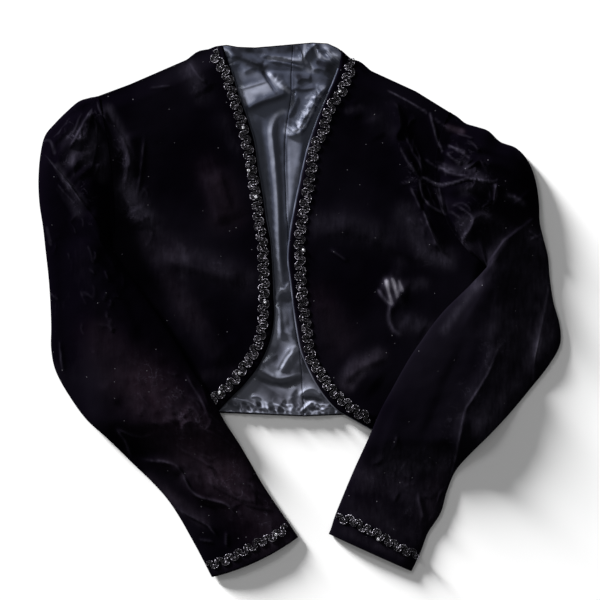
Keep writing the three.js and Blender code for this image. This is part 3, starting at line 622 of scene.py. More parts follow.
# %% Fine creases of the left sleeve
SLEEVE_CREASES["left"] = creases(
    ([(161, 182), (172, 175), (183, 168)], 2, 1.4, 0.4),
    ([(172, 193), (191, 188)], 2.2, 1.3, -0.4),
    ([(176, 152), (187, 157), (196, 163), (201, 156), (207, 150)], 1.7, 1.1, 0.4),
    ([(163, 179), (174, 176), (184, 170)], 1.6, 1.2, 0.4),
    ([(183, 187), (191, 180), (196, 172)], 2, 0.8, 0.3),
    ([(165, 113), (176, 116), (184, 112), (188, 106)], 1.5, 1, 0.3),
    ([(226, 125), (235, 121), (245, 114)], 1.6, 1.1, 0.4),
    ([(197, 142), (206, 132), (208, 121)], 1.4, 0.7, 0.3),
    ([(250, 87), (262, 79), (271, 76)], 2, 1.2, 0.4),
    ([(160, 173), (167, 165), (178, 158)], 2.6, 1.6, 0.4),
    ([(215, 139), (213, 128), (212, 116)], 2, 1.4, 0.4),
    ([(150, 161), (163, 150), (187, 145)], 2.4, 1.6, -0.4),
    ([(168, 116), (189, 99), (178, 77), (180, 56)], 3.2, 1.8, 0.4),
    ([(187, 97), (200, 103), (213, 97)], 3, 1.2, 0.3),
    ([(233, 125), (246, 117)], 2.6, 1.2, 0.4),
    ([(226, 110), (242, 121), (257, 136)], 4, 1, -0.4),
    ([(265, 97), (265, 84), (252, 77)], 2.6, 1.6, 0.4),
    ([(198, 165), (226, 156), (251, 136)], 8, 1.2, 0.3),
    ([(218, -38), (207, -66), (189, -96), (180, -112), (172, -153), (166, -183)], 1.7, 0.45, 0.5),
    ([(273, 22), (266, -13), (258, -52), (256, -75)], 1.7, 0.6, -0.5),
    ([(162, -190), (155, -216)], 1.8, 1.1, 0.3),
    ([(129, -201), (134, -220), (136, -232)], 2, 1.2, 0.4),
    ([(220, 53), (196, 11), (178, -22)], 9, 1.3, 0.4),
    ([(187, -22), (154, -99), (132, -154)], 11, -1, 0.3),
    ([(110, -99), (95, -143), (84, -187)], 8, 0.9, 0.3),
    ([(79, -169), (95, -163)], 2.2, 0.6, 0.3),
)
print("creases of the left sleeve:", len(SLEEVE_CREASES["left"]))

# %% Creases that cross the armhole seam, on the front and on the sleeve head alike
HEAD_CREASES = dict(
    right=creases(
        ([(-223, 231), (-219, 218), (-211, 209)], 2, 0.9, 0.3),
    ),
    left=creases(
        ([(143, 215), (146, 205), (151, 187), (156, 173)], 1.9, 1.5, -0.5),
        ([(147, 211), (161, 200), (165, 195)], 2, 0.9, 0.3),
        ([(132, 143), (135, 146), (151, 136), (167, 138), (185, 143), (207, 140), (215, 142)],
         1.6, 1.3, 0.5),
        ([(132, 139), (136, 123), (146, 112), (160, 105)], 1.8, 1.4, 0.4),
        ([(147, 135), (154, 121), (158, 108)], 1.6, 1.1, -0.4),
        ([(136, 167), (147, 158), (158, 154), (174, 151)], 2.2, 1.1, 0.4),
        ([(140, 135), (144, 124), (150, 113)], 1.5, 0.8, 0.4),
        ([(152, 136), (155, 121), (157, 107)], 1.4, 0.9, -0.3),
        ([(132, 143), (133, 132), (135, 120)], 1.5, 1.1, 0.3),
    ),
)
# the line where a sleeve folds back over its own head: the arm side lies one layer higher
FOLD_OVER = dict(
    right=[(-288, 180), (-265, 155), (-251, 138), (-231, 111), (-220, 97), (-211, 80), (-202, 64)],
    left=[(270, 108), (253, 100), (240, 90), (222, 76), (205, 51), (196, 37)],
)
print("creases over the armholes:", {side: len(rows) for side, rows in HEAD_CREASES.items()})

# %% [markdown]
# ## Stray creases
# Between the creases that have a cause lie many small ones, which old velvet has wherever it was
# handled. Nobody would place them one by one, so a seeded draw scatters them beside a line, each
# short and shallow. The seed makes every run of the lesson give the same jacket.

# %% Scattered small creases
STRAY_HALF_LENGTH = (3, 10)
STRAY_WIDTH = (1.2, 2.4)
STRAY_HEIGHT = (0.25, 0.8)
STRAY_LEAN = (-0.5, 0.5)
STRAY_BEND = (-0.4, 0.4)
STRAY_TURN = 0.75


def stray_creases(start, end, spread, count, seed):
    """Short shallow creases scattered beside a line, all running roughly along it."""
    random = np.random.default_rng(seed)
    start, end = np.array(start, float), np.array(end, float)
    run = end - start
    strays = []
    for _ in range(count):
        middle = start + run * random.random() + random.normal(0, spread / 2, 2)
        turn = math.atan2(run[1], run[0]) + random.normal(0, STRAY_TURN)
        half = np.array([math.cos(turn), math.sin(turn)]) * random.uniform(*STRAY_HALF_LENGTH)
        bend = np.array([-half[1], half[0]]) * random.uniform(*STRAY_BEND)
        wide = random.uniform(*STRAY_WIDTH)
        high = random.uniform(*STRAY_HEIGHT)
        lean = random.uniform(*STRAY_LEAN)
        strays.append(crease([middle - half, middle + bend, middle + half], wide, high, lean))
    return strays


# a line, how far the creases stray from it, how many there are, and the seed of the draw
STRAYS = [
    (SLEEVE_CREASES["right"], [(-165, -81), (-42, -222)], 36, 84, 1),
    (SLEEVE_CREASES["right"], [(-238, 88), (-198, -33)], 36, 26, 7),
    (SLEEVE_CREASES["right"], [(-224, 218), (-238, 125)], 24, 16, 2),
    (SLEEVE_CREASES["left"], [(165, 191), (200, 108)], 26, 14, 3),
    (SLEEVE_CREASES["left"], [(114, -154), (150, -231)], 34, 20, 4),
    (FRONT_CREASES["right"], [(-207, 209), (-169, 90)], 20, 14, 5),
    (FRONT_CREASES["left"], [(110, 220), (143, 77)], 18, 12, 6),
]
for relief, (start, end), spread, count, seed in STRAYS:
    relief += stray_creases(start, end, spread, count, seed)
print("stray creases:", sum(count for _, _, _, count, _ in STRAYS))

# %% [markdown]
# ## Folds of the back lining
# A satin lining is cut a little larger than the velvet, so that it never pulls. The slack lies in
# long ridges beside the centre-back seam, in a broad roll below the neck, in one crumpled crest,
# and in small puckers where it is felled to the hem. Cloth physics could make folds of this kind,
# but not these ones, so each is a line with a crest that is sharper than velvet's.

# %% Folds at the neck


def fold(points, wide, high, lean):
    """Satin folds have a sharper crest than velvet ones."""
    return crease(points, wide, high, lean, ends=0.2, sharp=1.5)


def folds(*rows):
    return [fold(*row) for row in rows]


LINING_FOLDS = folds(
    ([(-75, 280), (-59, 275), (-42, 268)], 2.6, 1.2, 0.5),
    ([(-42, 279), (-22, 277), (4, 271)], 2.8, 1.5, 0.6),
    ([(-35, 273), (-18, 271), (3, 266)], 1.6, 0.8, 0.4),
    ([(-58, 287), (-48, 279), (-37, 268)], 2.2, -1.3, 0),
    ([(-4, 289), (2, 282), (3, 271)], 1.8, 1.3, -0.5),
    ([(-53, 264), (-22, 263), (7, 262)], 2.6, -0.5, 0),
    ([(-95, 277), (-86, 286), (-75, 278), (-81, 271)], 1.8, 1.7, 0.3),
    ([(-88, 273), (-75, 268), (-68, 275)], 1.6, 1.3, -0.3),
    ([(3, 271), (10, 283), (20, 293)], 2.6, 1.8, 0.6),
    ([(18, 288), (24, 278), (37, 273), (44, 275)], 1.8, 1.8, 0.4),
    ([(29, 289), (36, 280), (46, 277)], 1.6, 1.5, -0.4),
    ([(24, 273), (33, 268), (42, 268)], 1.6, 1.3, 0.3),
    ([(13, 263), (22, 265), (31, 261)], 4.5, 1.4, 0.4),
    ([(33, 253), (37, 264), (41, 273)], 3.2, -1.5, 0),
)
print("folds of the lining so far:", len(LINING_FOLDS))

# %% The broad roll below the neck, and the pucker at the seam
LINING_FOLDS += folds(
    ([(-63, 260), (-51, 266), (-41, 264)], 6, 1, 0.4),
    ([(-69, 241), (-55, 245), (-35, 251)], 1.6, 0.5, 0.3),
    ([(-59, 220), (-42, 228), (-24, 234), (-10, 240)], 11, 3.8, 0.78),
    ([(-41, 263), (-34, 251), (-26, 238)], 1.5, -1.7, 0),
    ([(-32, 262), (-22, 251), (-11, 241)], 4.2, 1.3, -0.55),
    ([(-13, 240), (-4, 238)], 1.8, -1.3, 0),
    ([(-4, 249), (3, 254), (13, 253)], 3.4, 1, 0.4),
    ([(-7, 244), (4, 242), (18, 244)], 3, 0.8, 0.5),
    # the crumpled crest that runs down to the seam
    ([(-18, 195), (-8, 191), (3, 196), (12, 213), (20, 230), (34, 250)], 6, 2.7, 0.7),
    ([(-11, 209), (0, 205), (9, 220), (20, 240)], 1.5, 0.8, 0.2),
    ([(-15, 200), (-6, 197), (1, 202), (7, 212), (15, 224), (20, 235), (30, 244)], 1.2, 1, 0.3),
    ([(-14, 211), (-9, 217), (-4, 227), (-2, 235)], 2.6, 0.9, 0.4),
)
print("folds of the lining so far:", len(LINING_FOLDS))

# %% Long ridges either side of the centre-back seam
LINING_FOLDS += folds(
    ([(-18, 219), (-26, 211), (-30, 196), (-28, 176), (-24, 121), (-22, 66), (-20, 28)],
     6, 2, -0.62),
    ([(-42, 211), (-40, 176), (-36, 121)], 4.5, -0.9, 0),
    ([(4, 191), (1, 160), (-3, 121), (-9, 86)], 9, 1.3, -0.66),
    ([(-14, 187), (-13, 143), (-12, 106)], 1.8, -0.7, 0),
    ([(-10, 81), (-7, 53), (-3, 29)], 4, 1.2, -0.5),
    ([(-26, 13), (-20, 22), (-16, 22), (-11, 31)], 1.5, 1.5, 0.3),
    ([(-23, 18), (-15, 13), (-11, 7)], 3, -1.4, 0),
    ([(-23, 8), (-22, -11), (-19, -35)], 4.5, 1.7, -0.55),
    ([(-14, 7), (-12, -9), (-11, -22)], 3, -0.9, 0),
    ([(-23, -26), (-14, -25), (-4, -31)], 4.5, 1, 0.5),
    ([(-2, 11), (0, -33), (3, -70)], 13, 2, -0.75),
    ([(-2, -41), (-12, -54), (-21, -69)], 4.2, 2.1, -0.6),
    ([(-9, -41), (-18, -53), (-25, -66)], 1.6, 1.1, -0.4),
    ([(-44, -63), (-35, -56), (-24, -48)], 2.2, 1.1, 0.5),
    ([(-42, -55), (-33, -67), (-26, -74)], 2, 0.8, 0.2),
    ([(-48, -64), (-38, -69), (-25, -75), (-12, -74), (2, -69)], 5, 1.9, 0.62),
    ([(-51, -70), (-35, -79), (-18, -84), (3, -76)], 3.4, -1.6, 0),
    ([(-51, -76), (-35, -84), (-14, -99)], 4, 1, 0.5),
    ([(-13, -101), (-7, -90), (-2, -84)], 3.5, 0.9, 0.3),
)
print("folds of the lining so far:", len(LINING_FOLDS))

# %% Puckers where the lining is felled to the hem
LINING_FOLDS += folds(
    ([(-75, -97), (-59, -100), (-46, -106), (-37, -110)], 1.5, 1.7, 0.45),
    ([(-55, -96), (-46, -95), (-37, -101), (-33, -112)], 2.2, 1.9, 0.35),
    ([(-48, -101), (-42, -106), (-40, -112)], 1.4, -1.2, 0),
    ([(0, -94), (8, -88), (16, -87), (26, -94)], 2.9, 2.3, 0.45),
    ([(4, -98), (15, -97), (26, -102)], 2, -1.7, 0),
    ([(1, -112), (9, -105), (16, -101), (24, -109), (35, -106)], 1.5, 1.5, 0.2),
    ([(-26, -112), (-20, -103), (-15, -97)], 2.2, 1, 0.4),
    ([(-9, -113), (-8, -103), (-11, -95)], 2, 0.8, -0.3),
)
# where the satin is crumpled finely, and by how much
CRUMPLED = creases(
    ([(-13, 200), (0, 201), (12, 222), (26, 246)], 6, 1),
    ([(-4, -42), (-22, -69)], 4, 0.6),
    ([(-31, 260), (-13, 241)], 3, 0.6),
    ([(18, 284), (33, 279), (44, 275)], 8, 1.3),
    ([(-92, 277), (-77, 279)], 5, 0.9),
    ([(-77, -106), (-42, -110), (33, -108)], 6, 0.8),
    ([(-20, 26), (-13, 22)], 3, 0.7),
)
print("folds of the lining:", len(LINING_FOLDS), "- crumpled places:", len(CRUMPLED))

# %% [markdown]
# ## Heights
# The fronts lie on the lining, the sleeves lie on the fronts, and where two pieces are sewn together
# they come close. A cloth could be dropped on another by a shrinkwrap modifier, but that hugs every
# bump. Real cloth bridges them, so each layer has its own function, which gives its underside at any
# place on the table.

# %% Thicknesses, and how high each layer lies
BACK_WALL = 2.0
FRONT_WALL = 2.2
LINING_WALL = 1.0
SEAM_GAP = 0.3
LINING_TOP = BACK_WALL + SEAM_GAP + LINING_WALL
FRONT_REST = 6.2
print("millimetres from the table to the lining's face:", LINING_TOP)

# %% The underside of a front
# near a seam the front comes down to the back, and past the back's hem it comes down to the table
SEAM_REST = 2.4
SEAM_RAMP = 22
FOLD_RAMP = 40
HEM_DROP = dict(below=-114, over=18, by=3.6)
LEAST_REST = 1


def seam_distance(side, x, y):
    """How far a place is from the nearer of the shoulder seam and the side seam."""
    return np.minimum(*[line_distance(x, y, line)[0] for line in SEAMS[side]])


def front_under(side, x, y):
    """The height of a front's underside."""
    seam = seam_distance(side, x, y)
    rest = SEAM_REST + (FRONT_REST - SEAM_REST) * ease(seam / SEAM_RAMP)
    past_hem = ease((HEM_DROP["below"] - y) / HEM_DROP["over"]) * HEM_DROP["by"]
    raised = crease_height(FRONT_FOLDS[side], x, y) * ease(seam / FOLD_RAMP)
    return np.maximum(rest - past_hem, LEAST_REST) + raised


on_front = np.array([-120.0]), np.zeros(1)
print("underside of the right front at its middle:", front_under("right", *on_front).round(2))

# %% The face of the lining
# the fronts hold the lining down, so it may stand up further the further it is from their edges
ROOM = dict(at_edge=0.9, rise=0.4, most=5.5, fade=14)
SLACK = dict(high=1.1, ramp=9)
FOLDS_SCALE = 1.25
HEM_PUCKER = dict(below=-94, over=9)
HEM_CRINKLE = dict(size=8, seed=33.0)


def edge_at(name, y):
    """Where the free edge of a front is, at height y on the table."""
    points = column(name)[::-1]
    return np.interp(y, points[:, 1], points[:, 0])


def hem_pucker(x, y):
    """Fine gathers along the hem, where the stitches draw the satin in."""
    wavy = np.sin(x / 2.1 + 2.4 * ripple(x, y, 12, 3.0)) + 0.7 * np.sin(x / 1.15 + y / 3.2)
    return ease((HEM_PUCKER["below"] - y) / HEM_PUCKER["over"]) * (
        0.35 + 0.36 * wavy + 0.8 * crinkle(x, y, **HEM_CRINKLE))


def lining_top(x, y):
    """The height of the lining's face, with all its folds."""
    inside = np.minimum(x - edge_at("right_edge", y), edge_at("left_edge", y) - x)
    most = np.clip(ROOM["at_edge"] + inside * ROOM["rise"], 0, ROOM["most"])
    most *= ease((inside + ROOM["fade"]) / ROOM["fade"])
    raised = FOLDS_SCALE * crease_height(LINING_FOLDS, x, y) + SLACK["high"] * ease(inside / SLACK["ramp"])
    raised += hem_pucker(x, y)
    crumpled = np.maximum(crease_height(CRUMPLED, x, y), 0)
    raised += crumpled * (0.7 * ripple(x, y, 6.0, 11.0) + 0.6 * ripple(x, y, 3.2, 12.0))
    raised += 0.75 * ripple(x, y, 24, 1.0) + 0.35 * ripple(x, y, 9, 14.0)
    return LINING_TOP + np.clip(raised, 0, most + SEAM_GAP)


middle_x, middle_y = np.full(4, -30.0), np.arange(-60, 240, 75.0)
print("heights of the lining up its middle:", lining_top(middle_x, middle_y).round(1))

# %% The ground under a sleeve
# a sleeve lies on its front, then runs down to the table beyond the body's outline
SLEEVE_OVER = 9.1
SLEEVE_CLEAR = 7
SLEEVE_RUN_OFF = 42
BRAID_TUCK = dict(
    right=crease([(-98, -101), (-106, -104)], 13, 2.6),
    left=crease([(74, -117), (80, -121)], 9, 1.2),
)


def ground(side, x, y):
    """The height that a sleeve lies on."""
    over = SLEEVE_OVER + np.maximum(0, crease_height(FRONT_FOLDS[side], x, y))
    away = outside_body(x, y) - SLEEVE_CLEAR
    return over * (1 - ease(away / SLEEVE_RUN_OFF)) + crease_height([BRAID_TUCK[side]], x, y)


going_out = np.arange(-190, -260, -20.0)
print("ground under the right sleeve, going out:", ground("right", going_out, np.zeros(4)).round(1))

# %% [markdown]
# ## Making cloth meshes
# A plane with a Solidify modifier gives cloth an even thickness, but here an upper layer and its
# underside follow different things, so the mesh is made from points. Two kinds serve every piece: a
# flat wall with a top and an underside, and a tube. Each vertex also carries painted values.
# Paleness is how pale the velvet is painted: partly pile brushed the other way, partly painted
# sheen, and painted shade where it is below nought. Warm is how brown that patch turns.

# %% From points to a piece


def make_piece(name, points, faces, uv, paint=None):
    """A mesh object from points in millimetres, with a map of the cloth and its painted values."""
    mesh = bpy.data.meshes.new(name)
    faces = faces.tolist() if hasattr(faces, "tolist") else faces
    mesh.from_pydata((np.asarray(points) * MM).tolist(), [], faces)
    mesh.polygons.foreach_set("use_smooth", [True] * len(mesh.polygons))
    corner = np.empty(len(mesh.loops), dtype=np.int32)
    mesh.loops.foreach_get("vertex_index", corner)
    layer = mesh.uv_layers.new(name="cloth")
    layer.data.foreach_set("uv", (np.asarray(uv)[corner] * MM).astype(np.float32).ravel())
    for key, values in (paint or {}).items():
        attribute = mesh.attributes.new(key, "FLOAT", "POINT")
        attribute.data.foreach_set("value", np.asarray(values, np.float32).ravel())
    mesh.update()
    piece = bpy.data.objects.new(name, mesh)
    bpy.context.scene.collection.objects.link(piece)
    return piece


print("a millimetre, in Blender's units:", MM)

# %% A flat wall of cloth


def grid_faces(rows, columns, first=0, flip=False):
    """The four-sided faces of a grid of points, whose first point has the given number."""
    r, c = np.meshgrid(np.arange(rows - 1), np.arange(columns - 1), indexing="ij")
    a = first + r * columns + c
    quads = np.stack([a, a + columns, a + columns + 1, a + 1], axis=-1).reshape(-1, 4)
    return quads[:, ::-1] if flip else quads


def wall(name, x, y, top, under, paint):
    """A closed sheet of cloth. Rows run down the piece and columns run towards positive X."""
    rows, columns = x.shape
    size = rows * columns
    layers = [np.stack([x, y, z], axis=-1).reshape(-1, 3) for z in (top, under)]
    points = np.concatenate(layers)
    index = np.arange(size).reshape(rows, columns)
    rim = np.concatenate([index[:, 0], index[-1, 1:], index[-2::-1, -1], index[0, -2:0:-1]])
    after = np.roll(rim, -1)
    skirt = np.stack([rim, rim + size, after + size, after], axis=-1)
    faces = np.concatenate([grid_faces(rows, columns), grid_faces(rows, columns, size, True), skirt])
    both = {key: np.tile(values.ravel(), 2) for key, values in paint.items()}
    return make_piece(name, points, faces, points[:, :2], both)


def left_to_right(side, *grids):
    """Grids whose columns run towards positive X, so those of the right side are turned round."""
    return [grid[:, ::-1] for grid in grids] if side == "right" else grids


def rolled(distance, radius):
    """How far the top of a cloth drops close to its turned edge."""
    share = np.clip(1 - distance / radius, 0, 1)
    return radius * (1 - np.sqrt(1 - share * share))


print("faces in a grid of 3 by 4 points:", len(grid_faces(3, 4)))

# %% [markdown]
# ## Nap patches, with painted sheen and painted shade
# Velvet is black where the pile stands up and pale where it is brushed or pressed flat. The sheen of
# that pressed pile is painted into the colour here too. A painted image could hold such patches,
# but it would need its own file. Here they are soft strokes, each with its own width and strength,
# and the material breaks them up into streaks. Strokes below nought are painted shade.

# %% A stroke of brushed pile, painted sheen or painted shade
STROKE_PARTS = 4


def stroke(points, wide, paleness, warm=0.0):
    return dict(line=smooth_line(points, STROKE_PARTS), wide=wide, paleness=paleness, warm=warm)


def strokes(*rows):
    """A list of strokes: the points of each, its width, its paleness, and how brown it is."""
    return [stroke(*row) for row in rows]


PILE_SHEEN_AND_SHADE = {}
print("points on a stroke of three:", len(stroke([(0, 0), (5, 5), (10, 0)], 1, 1)["line"]))

# %% Brushed pile and painted sheen of the right front
PILE_SHEEN_AND_SHADE["front_right"] = strokes(
    ([(-191, 132), (-178, 114), (-163, 92)], 11, 0.75),
    ([(-209, 220), (-196, 196), (-187, 167), (-189, 143)], 5, 0.5),
    ([(-165, 77), (-136, 66)], 14, 0.25, 0.3),
    ([(-156, 57), (-110, 50), (-59, 31)], 14, 0.29, 0.15),
    ([(-132, 70), (-125, 53), (-128, 37)], 5, 0.35),
    ([(-121, 264), (-106, 235)], 9, 0.4),
    ([(-101, 154), (-92, 130), (-86, 101)], 15, 0.13, 1.1),
    ([(-86, 143), (-70, 106)], 14, 0.08, 1.6),
    ([(-130, 11), (-95, -46)], 14, 0.14, 0.3),
    ([(-143, 33), (-114, -9)], 12, 0.18, 0.6),
    ([(-105, -72), (-72, -68)], 7, 0.2, 0.3),
    ([(-84, 209), (-70, 176)], 7, 0.16),
)
print("strokes:", len(PILE_SHEEN_AND_SHADE["front_right"]))

# %% Brushed pile and painted sheen of the left front
PILE_SHEEN_AND_SHADE["front_left"] = strokes(
    ([(95, 32), (97, 21), (101, 7)], 2.5, 2.6),
    ([(102, 34), (105, 25), (107, 15)], 2.5, 2.45),
    ([(109, 32), (111, 26), (113, 21)], 2.2, 2.1),
    ([(87, 21), (91, 15), (97, 8)], 1.8, 1.8),
    ([(97, 29), (108, 22)], 6, 1.5),
    ([(101, 14), (110, 9)], 4, 0.8),
    ([(100, 8), (98, -9), (102, -21), (109, -26)], 2.3, 0.8),
    ([(114, -13), (134, -18)], 11, 0.4),
    ([(114, 26), (136, 29)], 7, 0.35),
    ([(51, -81), (62, -64), (86, -51)], 8, 0.75, 0.2),
    ([(57, -84), (73, -62)], 4, 0.4, 0.2),
    ([(20, 95), (55, 90), (92, 79)], 13, 0.3),
    ([(114, 106), (132, 73), (161, 57)], 11, 0.45),
    ([(136, 59), (163, 53)], 8, 0.35),
    ([(53, 218), (66, 222)], 4, 0.3),
    ([(24, 11), (44, -33)], 18, 0.12, 1.2),
    ([(79, 213), (97, 194)], 10, 0.15),
    ([(110, 53), (106, 37)], 6, 0.25),
)
print("strokes:", len(PILE_SHEEN_AND_SHADE["front_left"]))

# %% Brushed pile, painted sheen and painted shade of the right sleeve
PILE_SHEEN_AND_SHADE["sleeve_right"] = strokes(
    # below nought: painted shade on the outer head and the upper arm, whose slopes face the low sun
    ([(-238, 224), (-266, 207), (-279, 180), (-282, 132)], 15, -0.34),
    ([(-275, 121), (-268, 44), (-257, -33)], 26, -0.2),
    ([(-220, 132), (-207, 66), (-187, 11)], 20, -0.15),
    # above nought: brushed pile with its painted sheen
    ([(-235, 189), (-244, 176), (-249, 161)], 4, 0.7),
    ([(-223, 191), (-228, 178), (-234, 165)], 5, 0.7),
    ([(-213, 178), (-215, 163), (-215, 143)], 5, 0.5),
    ([(-207, 207), (-194, 183), (-189, 165)], 5, 0.45),
    ([(-283, 185), (-273, 185), (-268, 172)], 2, 0.45),
    ([(-264, 156), (-251, 135), (-235, 117)], 4, 0.5),
    ([(-266, 132), (-242, 108)], 7, 0.3),
    ([(-216, -33), (-194, -68), (-169, -90)], 22, 0.12, 1.6),
    ([(-169, -81), (-125, -130), (-86, -176)], 31, 0.28, 1.4),
    ([(-154, -143), (-125, -161)], 12, 0.22, 0.8),
    ([(-103, -154), (-66, -198), (-35, -242)], 26, 0.28, 1.1),
    ([(-165, -187), (-136, -209)], 7, 0.3, 0.5),
    ([(-136, -209), (-106, -231)], 7, 0.3, 0.4),
    ([(-90, -284), (-15, -253)], 6, 0.25, 0.3),
    ([(-277, 90), (-273, 72)], 3, 0.4),
)
print("strokes:", len(PILE_SHEEN_AND_SHADE["sleeve_right"]))

# %% Brushed pile, painted sheen, painted shade and painted light of the left sleeve
PILE_SHEEN_AND_SHADE["sleeve_left"] = strokes(
    # below nought: painted shade along the top of the head, whose slopes face the low sun
    ([(172, 202), (205, 187), (229, 165), (246, 136)], 13, -0.22),
    ([(165, 176), (191, 163)], 9, -0.1),
    # above nought: brushed pile with its painted sheen
    ([(163, 200), (178, 196)], 3.5, 0.7, 0.6),
    ([(178, 161), (189, 152), (198, 143)], 5, 0.35),
    ([(158, 157), (174, 150)], 4, 0.25),
    ([(143, 130), (156, 112)], 5.5, 0.55),
    ([(178, 130), (200, 134)], 5, 0.35),
    ([(187, 97), (202, 103), (220, 92)], 6, 0.45),
    ([(178, 97), (183, 73), (178, 55)], 6, 0.3),
    ([(227, 125), (244, 117)], 3.5, 0.5),
    ([(218, 66), (233, 33), (235, 0)], 24, 0.42),
    ([(257, 77), (268, 11), (264, -44)], 16, 0.6),
    ([(229, -22), (227, -66), (198, -121)], 22, 0.62),
    ([(275, -22), (242, -77), (198, -132)], 9, 0.5),
    ([(218, -38), (207, -66), (189, -96), (180, -112), (172, -153), (166, -183)], 1.1, 0.7),
    ([(273, 24), (266, -13), (258, -52), (256, -77)], 1.1, 0.9),
    ([(196, 29), (174, 2), (158, -22)], 4.5, 0.5),
    ([(154, -176), (141, -231)], 11, 0.22, 0.5),
    # painted light over the shade where the sleeve runs down off the front onto the table
    ([(101, -156), (128, -156), (161, -161)], 8, 0.5),
    ([(95, -169), (123, -172), (156, -172)], 9, 0.8),
    ([(79, -187), (110, -198), (154, -209)], 24, 0.28, 0.2),
    ([(66, -220), (110, -242), (150, -260)], 14, 0.22, 0.2),
    ([(51, -244), (114, -271)], 5, 0.25, 0.2),
)
print("strokes:", len(PILE_SHEEN_AND_SHADE["sleeve_left"]))

# %% [markdown]
# ## Rubbed and lit crest lines, and crazing
# The crest of a sharp crease is rubbed bare first and catches the light, so it shows as a thin pale
# line: rubbed pile and a painted highlight together. Old velvet is finely crazed where it was
# folded most. Bump alone would not show either, so both are painted as changes in the pile's
# colour. The lines are strokes as well, and the crazing is a mask for noise in the material.

# %% Rubbed lines and painted highlights about the left armhole
# most cross the seam, so the front and the sleeve share them
RUBBED_HIGHLIGHTS = strokes(
    ([(132, 142), (136, 145), (151, 138), (167, 139), (185, 143), (207, 140), (215, 142)], 1, 1),
    ([(132, 139), (136, 123), (146, 112), (160, 105)], 1.1, 0.8),
    ([(152, 135), (155, 121), (157, 107)], 1, 0.6),
    ([(143, 215), (146, 205), (151, 187), (156, 174)], 1.1, 0.8),
    ([(98, 240), (119, 229), (139, 217)], 1, 0.7),
    ([(139, 103), (143, 90), (150, 77), (155, 64)], 1, 0.8),
    ([(111, 176), (119, 161), (130, 147)], 1, 0.5),
    ([(163, 180), (174, 175), (185, 166)], 1, 0.6),
    ([(212, 139), (215, 125), (211, 116)], 1, 0.6),
)
PILE_SHEEN_AND_SHADE["front_left"] += RUBBED_HIGHLIGHTS
PILE_SHEEN_AND_SHADE["sleeve_left"] += RUBBED_HIGHLIGHTS
print("rubbed lines:", len(RUBBED_HIGHLIGHTS))

# %% Where the pile is finely crazed
CRAZED = dict(
    front_right=strokes(
        ([(-207, 209), (-189, 154), (-194, 117), (-172, 95)], 9, 0.5),
        ([(-154, 57), (-88, 42)], 14, 0.3),
        ([(-132, 264), (-105, 242)], 12, 0.35),
    ),
    front_left=strokes(
        ([(105, 220), (123, 176), (136, 132), (150, 77)], 12, 0.35),
        ([(110, 88), (143, 57)], 12, 0.3),
        ([(48, -79), (86, -53)], 9, 0.3),
    ),
    sleeve_right=strokes(
        ([(-233, 218), (-244, 176), (-238, 121)], 15, 0.7),
        ([(-165, -73), (-130, -110), (-97, -154), (-48, -220)], 24, 1.2),
        ([(-279, 176), (-253, 132), (-224, 92)], 6, 0.4),
    ),
    sleeve_left=strokes(
        ([(161, 198), (183, 165), (198, 132), (187, 88)], 17, 0.7),
        ([(220, -33), (187, -99), (154, -187)], 22, 0.4),
        ([(92, -176), (121, -242)], 18, 0.35),
    ),
)
print("crazed places:", sum(map(len, CRAZED.values())))

# %% What is painted on a piece of velvet
SHARP_WIDTH = 3.3
CREST_REACH = 6
RUB_AND_HIGHLIGHT_STRENGTH = 0.52


def rubbed_highlights(relief, x, y):
    """A thin pale line along the crest of each sharp crease: rubbed pile and a painted highlight together."""
    total = np.zeros(x.shape)
    for c in relief:
        near = close_by(c["line"], CREST_REACH, x, y)
        if c["wide"] <= SHARP_WIDTH and c["high"] >= 0 and near.any():
            wander = 0.9 * ripple(x[near], y[near], 7, 21.0)
            d, side, place = line_distance(x[near], y[near], c["line"])
            mark = np.exp(-((d * side + wander) ** 2))
            patchy = 0.75 + 0.6 * ripple(x[near], y[near], 9, 22.0)
            fade = ease(np.minimum(place, 1 - place) * 5 + 0.1)
            total[near] += RUB_AND_HIGHLIGHT_STRENGTH * c["high"] * mark * patchy * fade
    return total


def painted(marks, x, y):
    """The sum of all strokes at a place, each flat in the middle and quick to fade."""
    total = np.zeros(x.shape)
    for s in marks:
        near = close_by(s["line"], 2 * s["wide"], x, y)
        if near.any():
            d = line_distance(x[near], y[near], s["line"])[0] + 0.8 * ripple(x[near], y[near], 7, 31.0)
            uneven = 1 + 0.35 * ripple(x[near], y[near], 6, 32.0)
            total[near] += s["paleness"] * uneven * np.exp(-np.abs(d / s["wide"]) ** 3)
    return total


def paint_pile_sheen_and_shade(name, x, y, relief=()):
    """Everything that is painted on one piece of velvet."""
    paleness, warm = rubbed_highlights(relief, x, y), np.zeros(x.shape)
    for s in PILE_SHEEN_AND_SHADE.get(name, []):
        near = close_by(s["line"], 3 * s["wide"], x, y)
        if near.any():
            mark = np.exp(-((line_distance(x[near], y[near], s["line"])[0] / s["wide"]) ** 2))
            paleness[near] += s["paleness"] * mark
            warm[near] += s["warm"] * s["paleness"] * mark
    return dict(paleness=paleness, warm=warm, crazed=painted(CRAZED.get(name, []), x, y))


one_stroke = [stroke([(0, 0), (40, 0)], wide=5, paleness=1)]
print("across one stroke:", painted(one_stroke, np.full(4, 20.0), np.arange(0, 12, 3.0)).round(2))

# %% [markdown]
# ## Painted sheen and shade of the satin
# Satin shines along its weave, so a fold that leans one way is pale and its neighbour is nearly
# black. Anisotropy in the shader could give a part of that, and the relief gives another, but such
# a lining has more contrast than both. Strokes paint the rest into the colour: above nought a
# painted highlight, below nought painted shade.

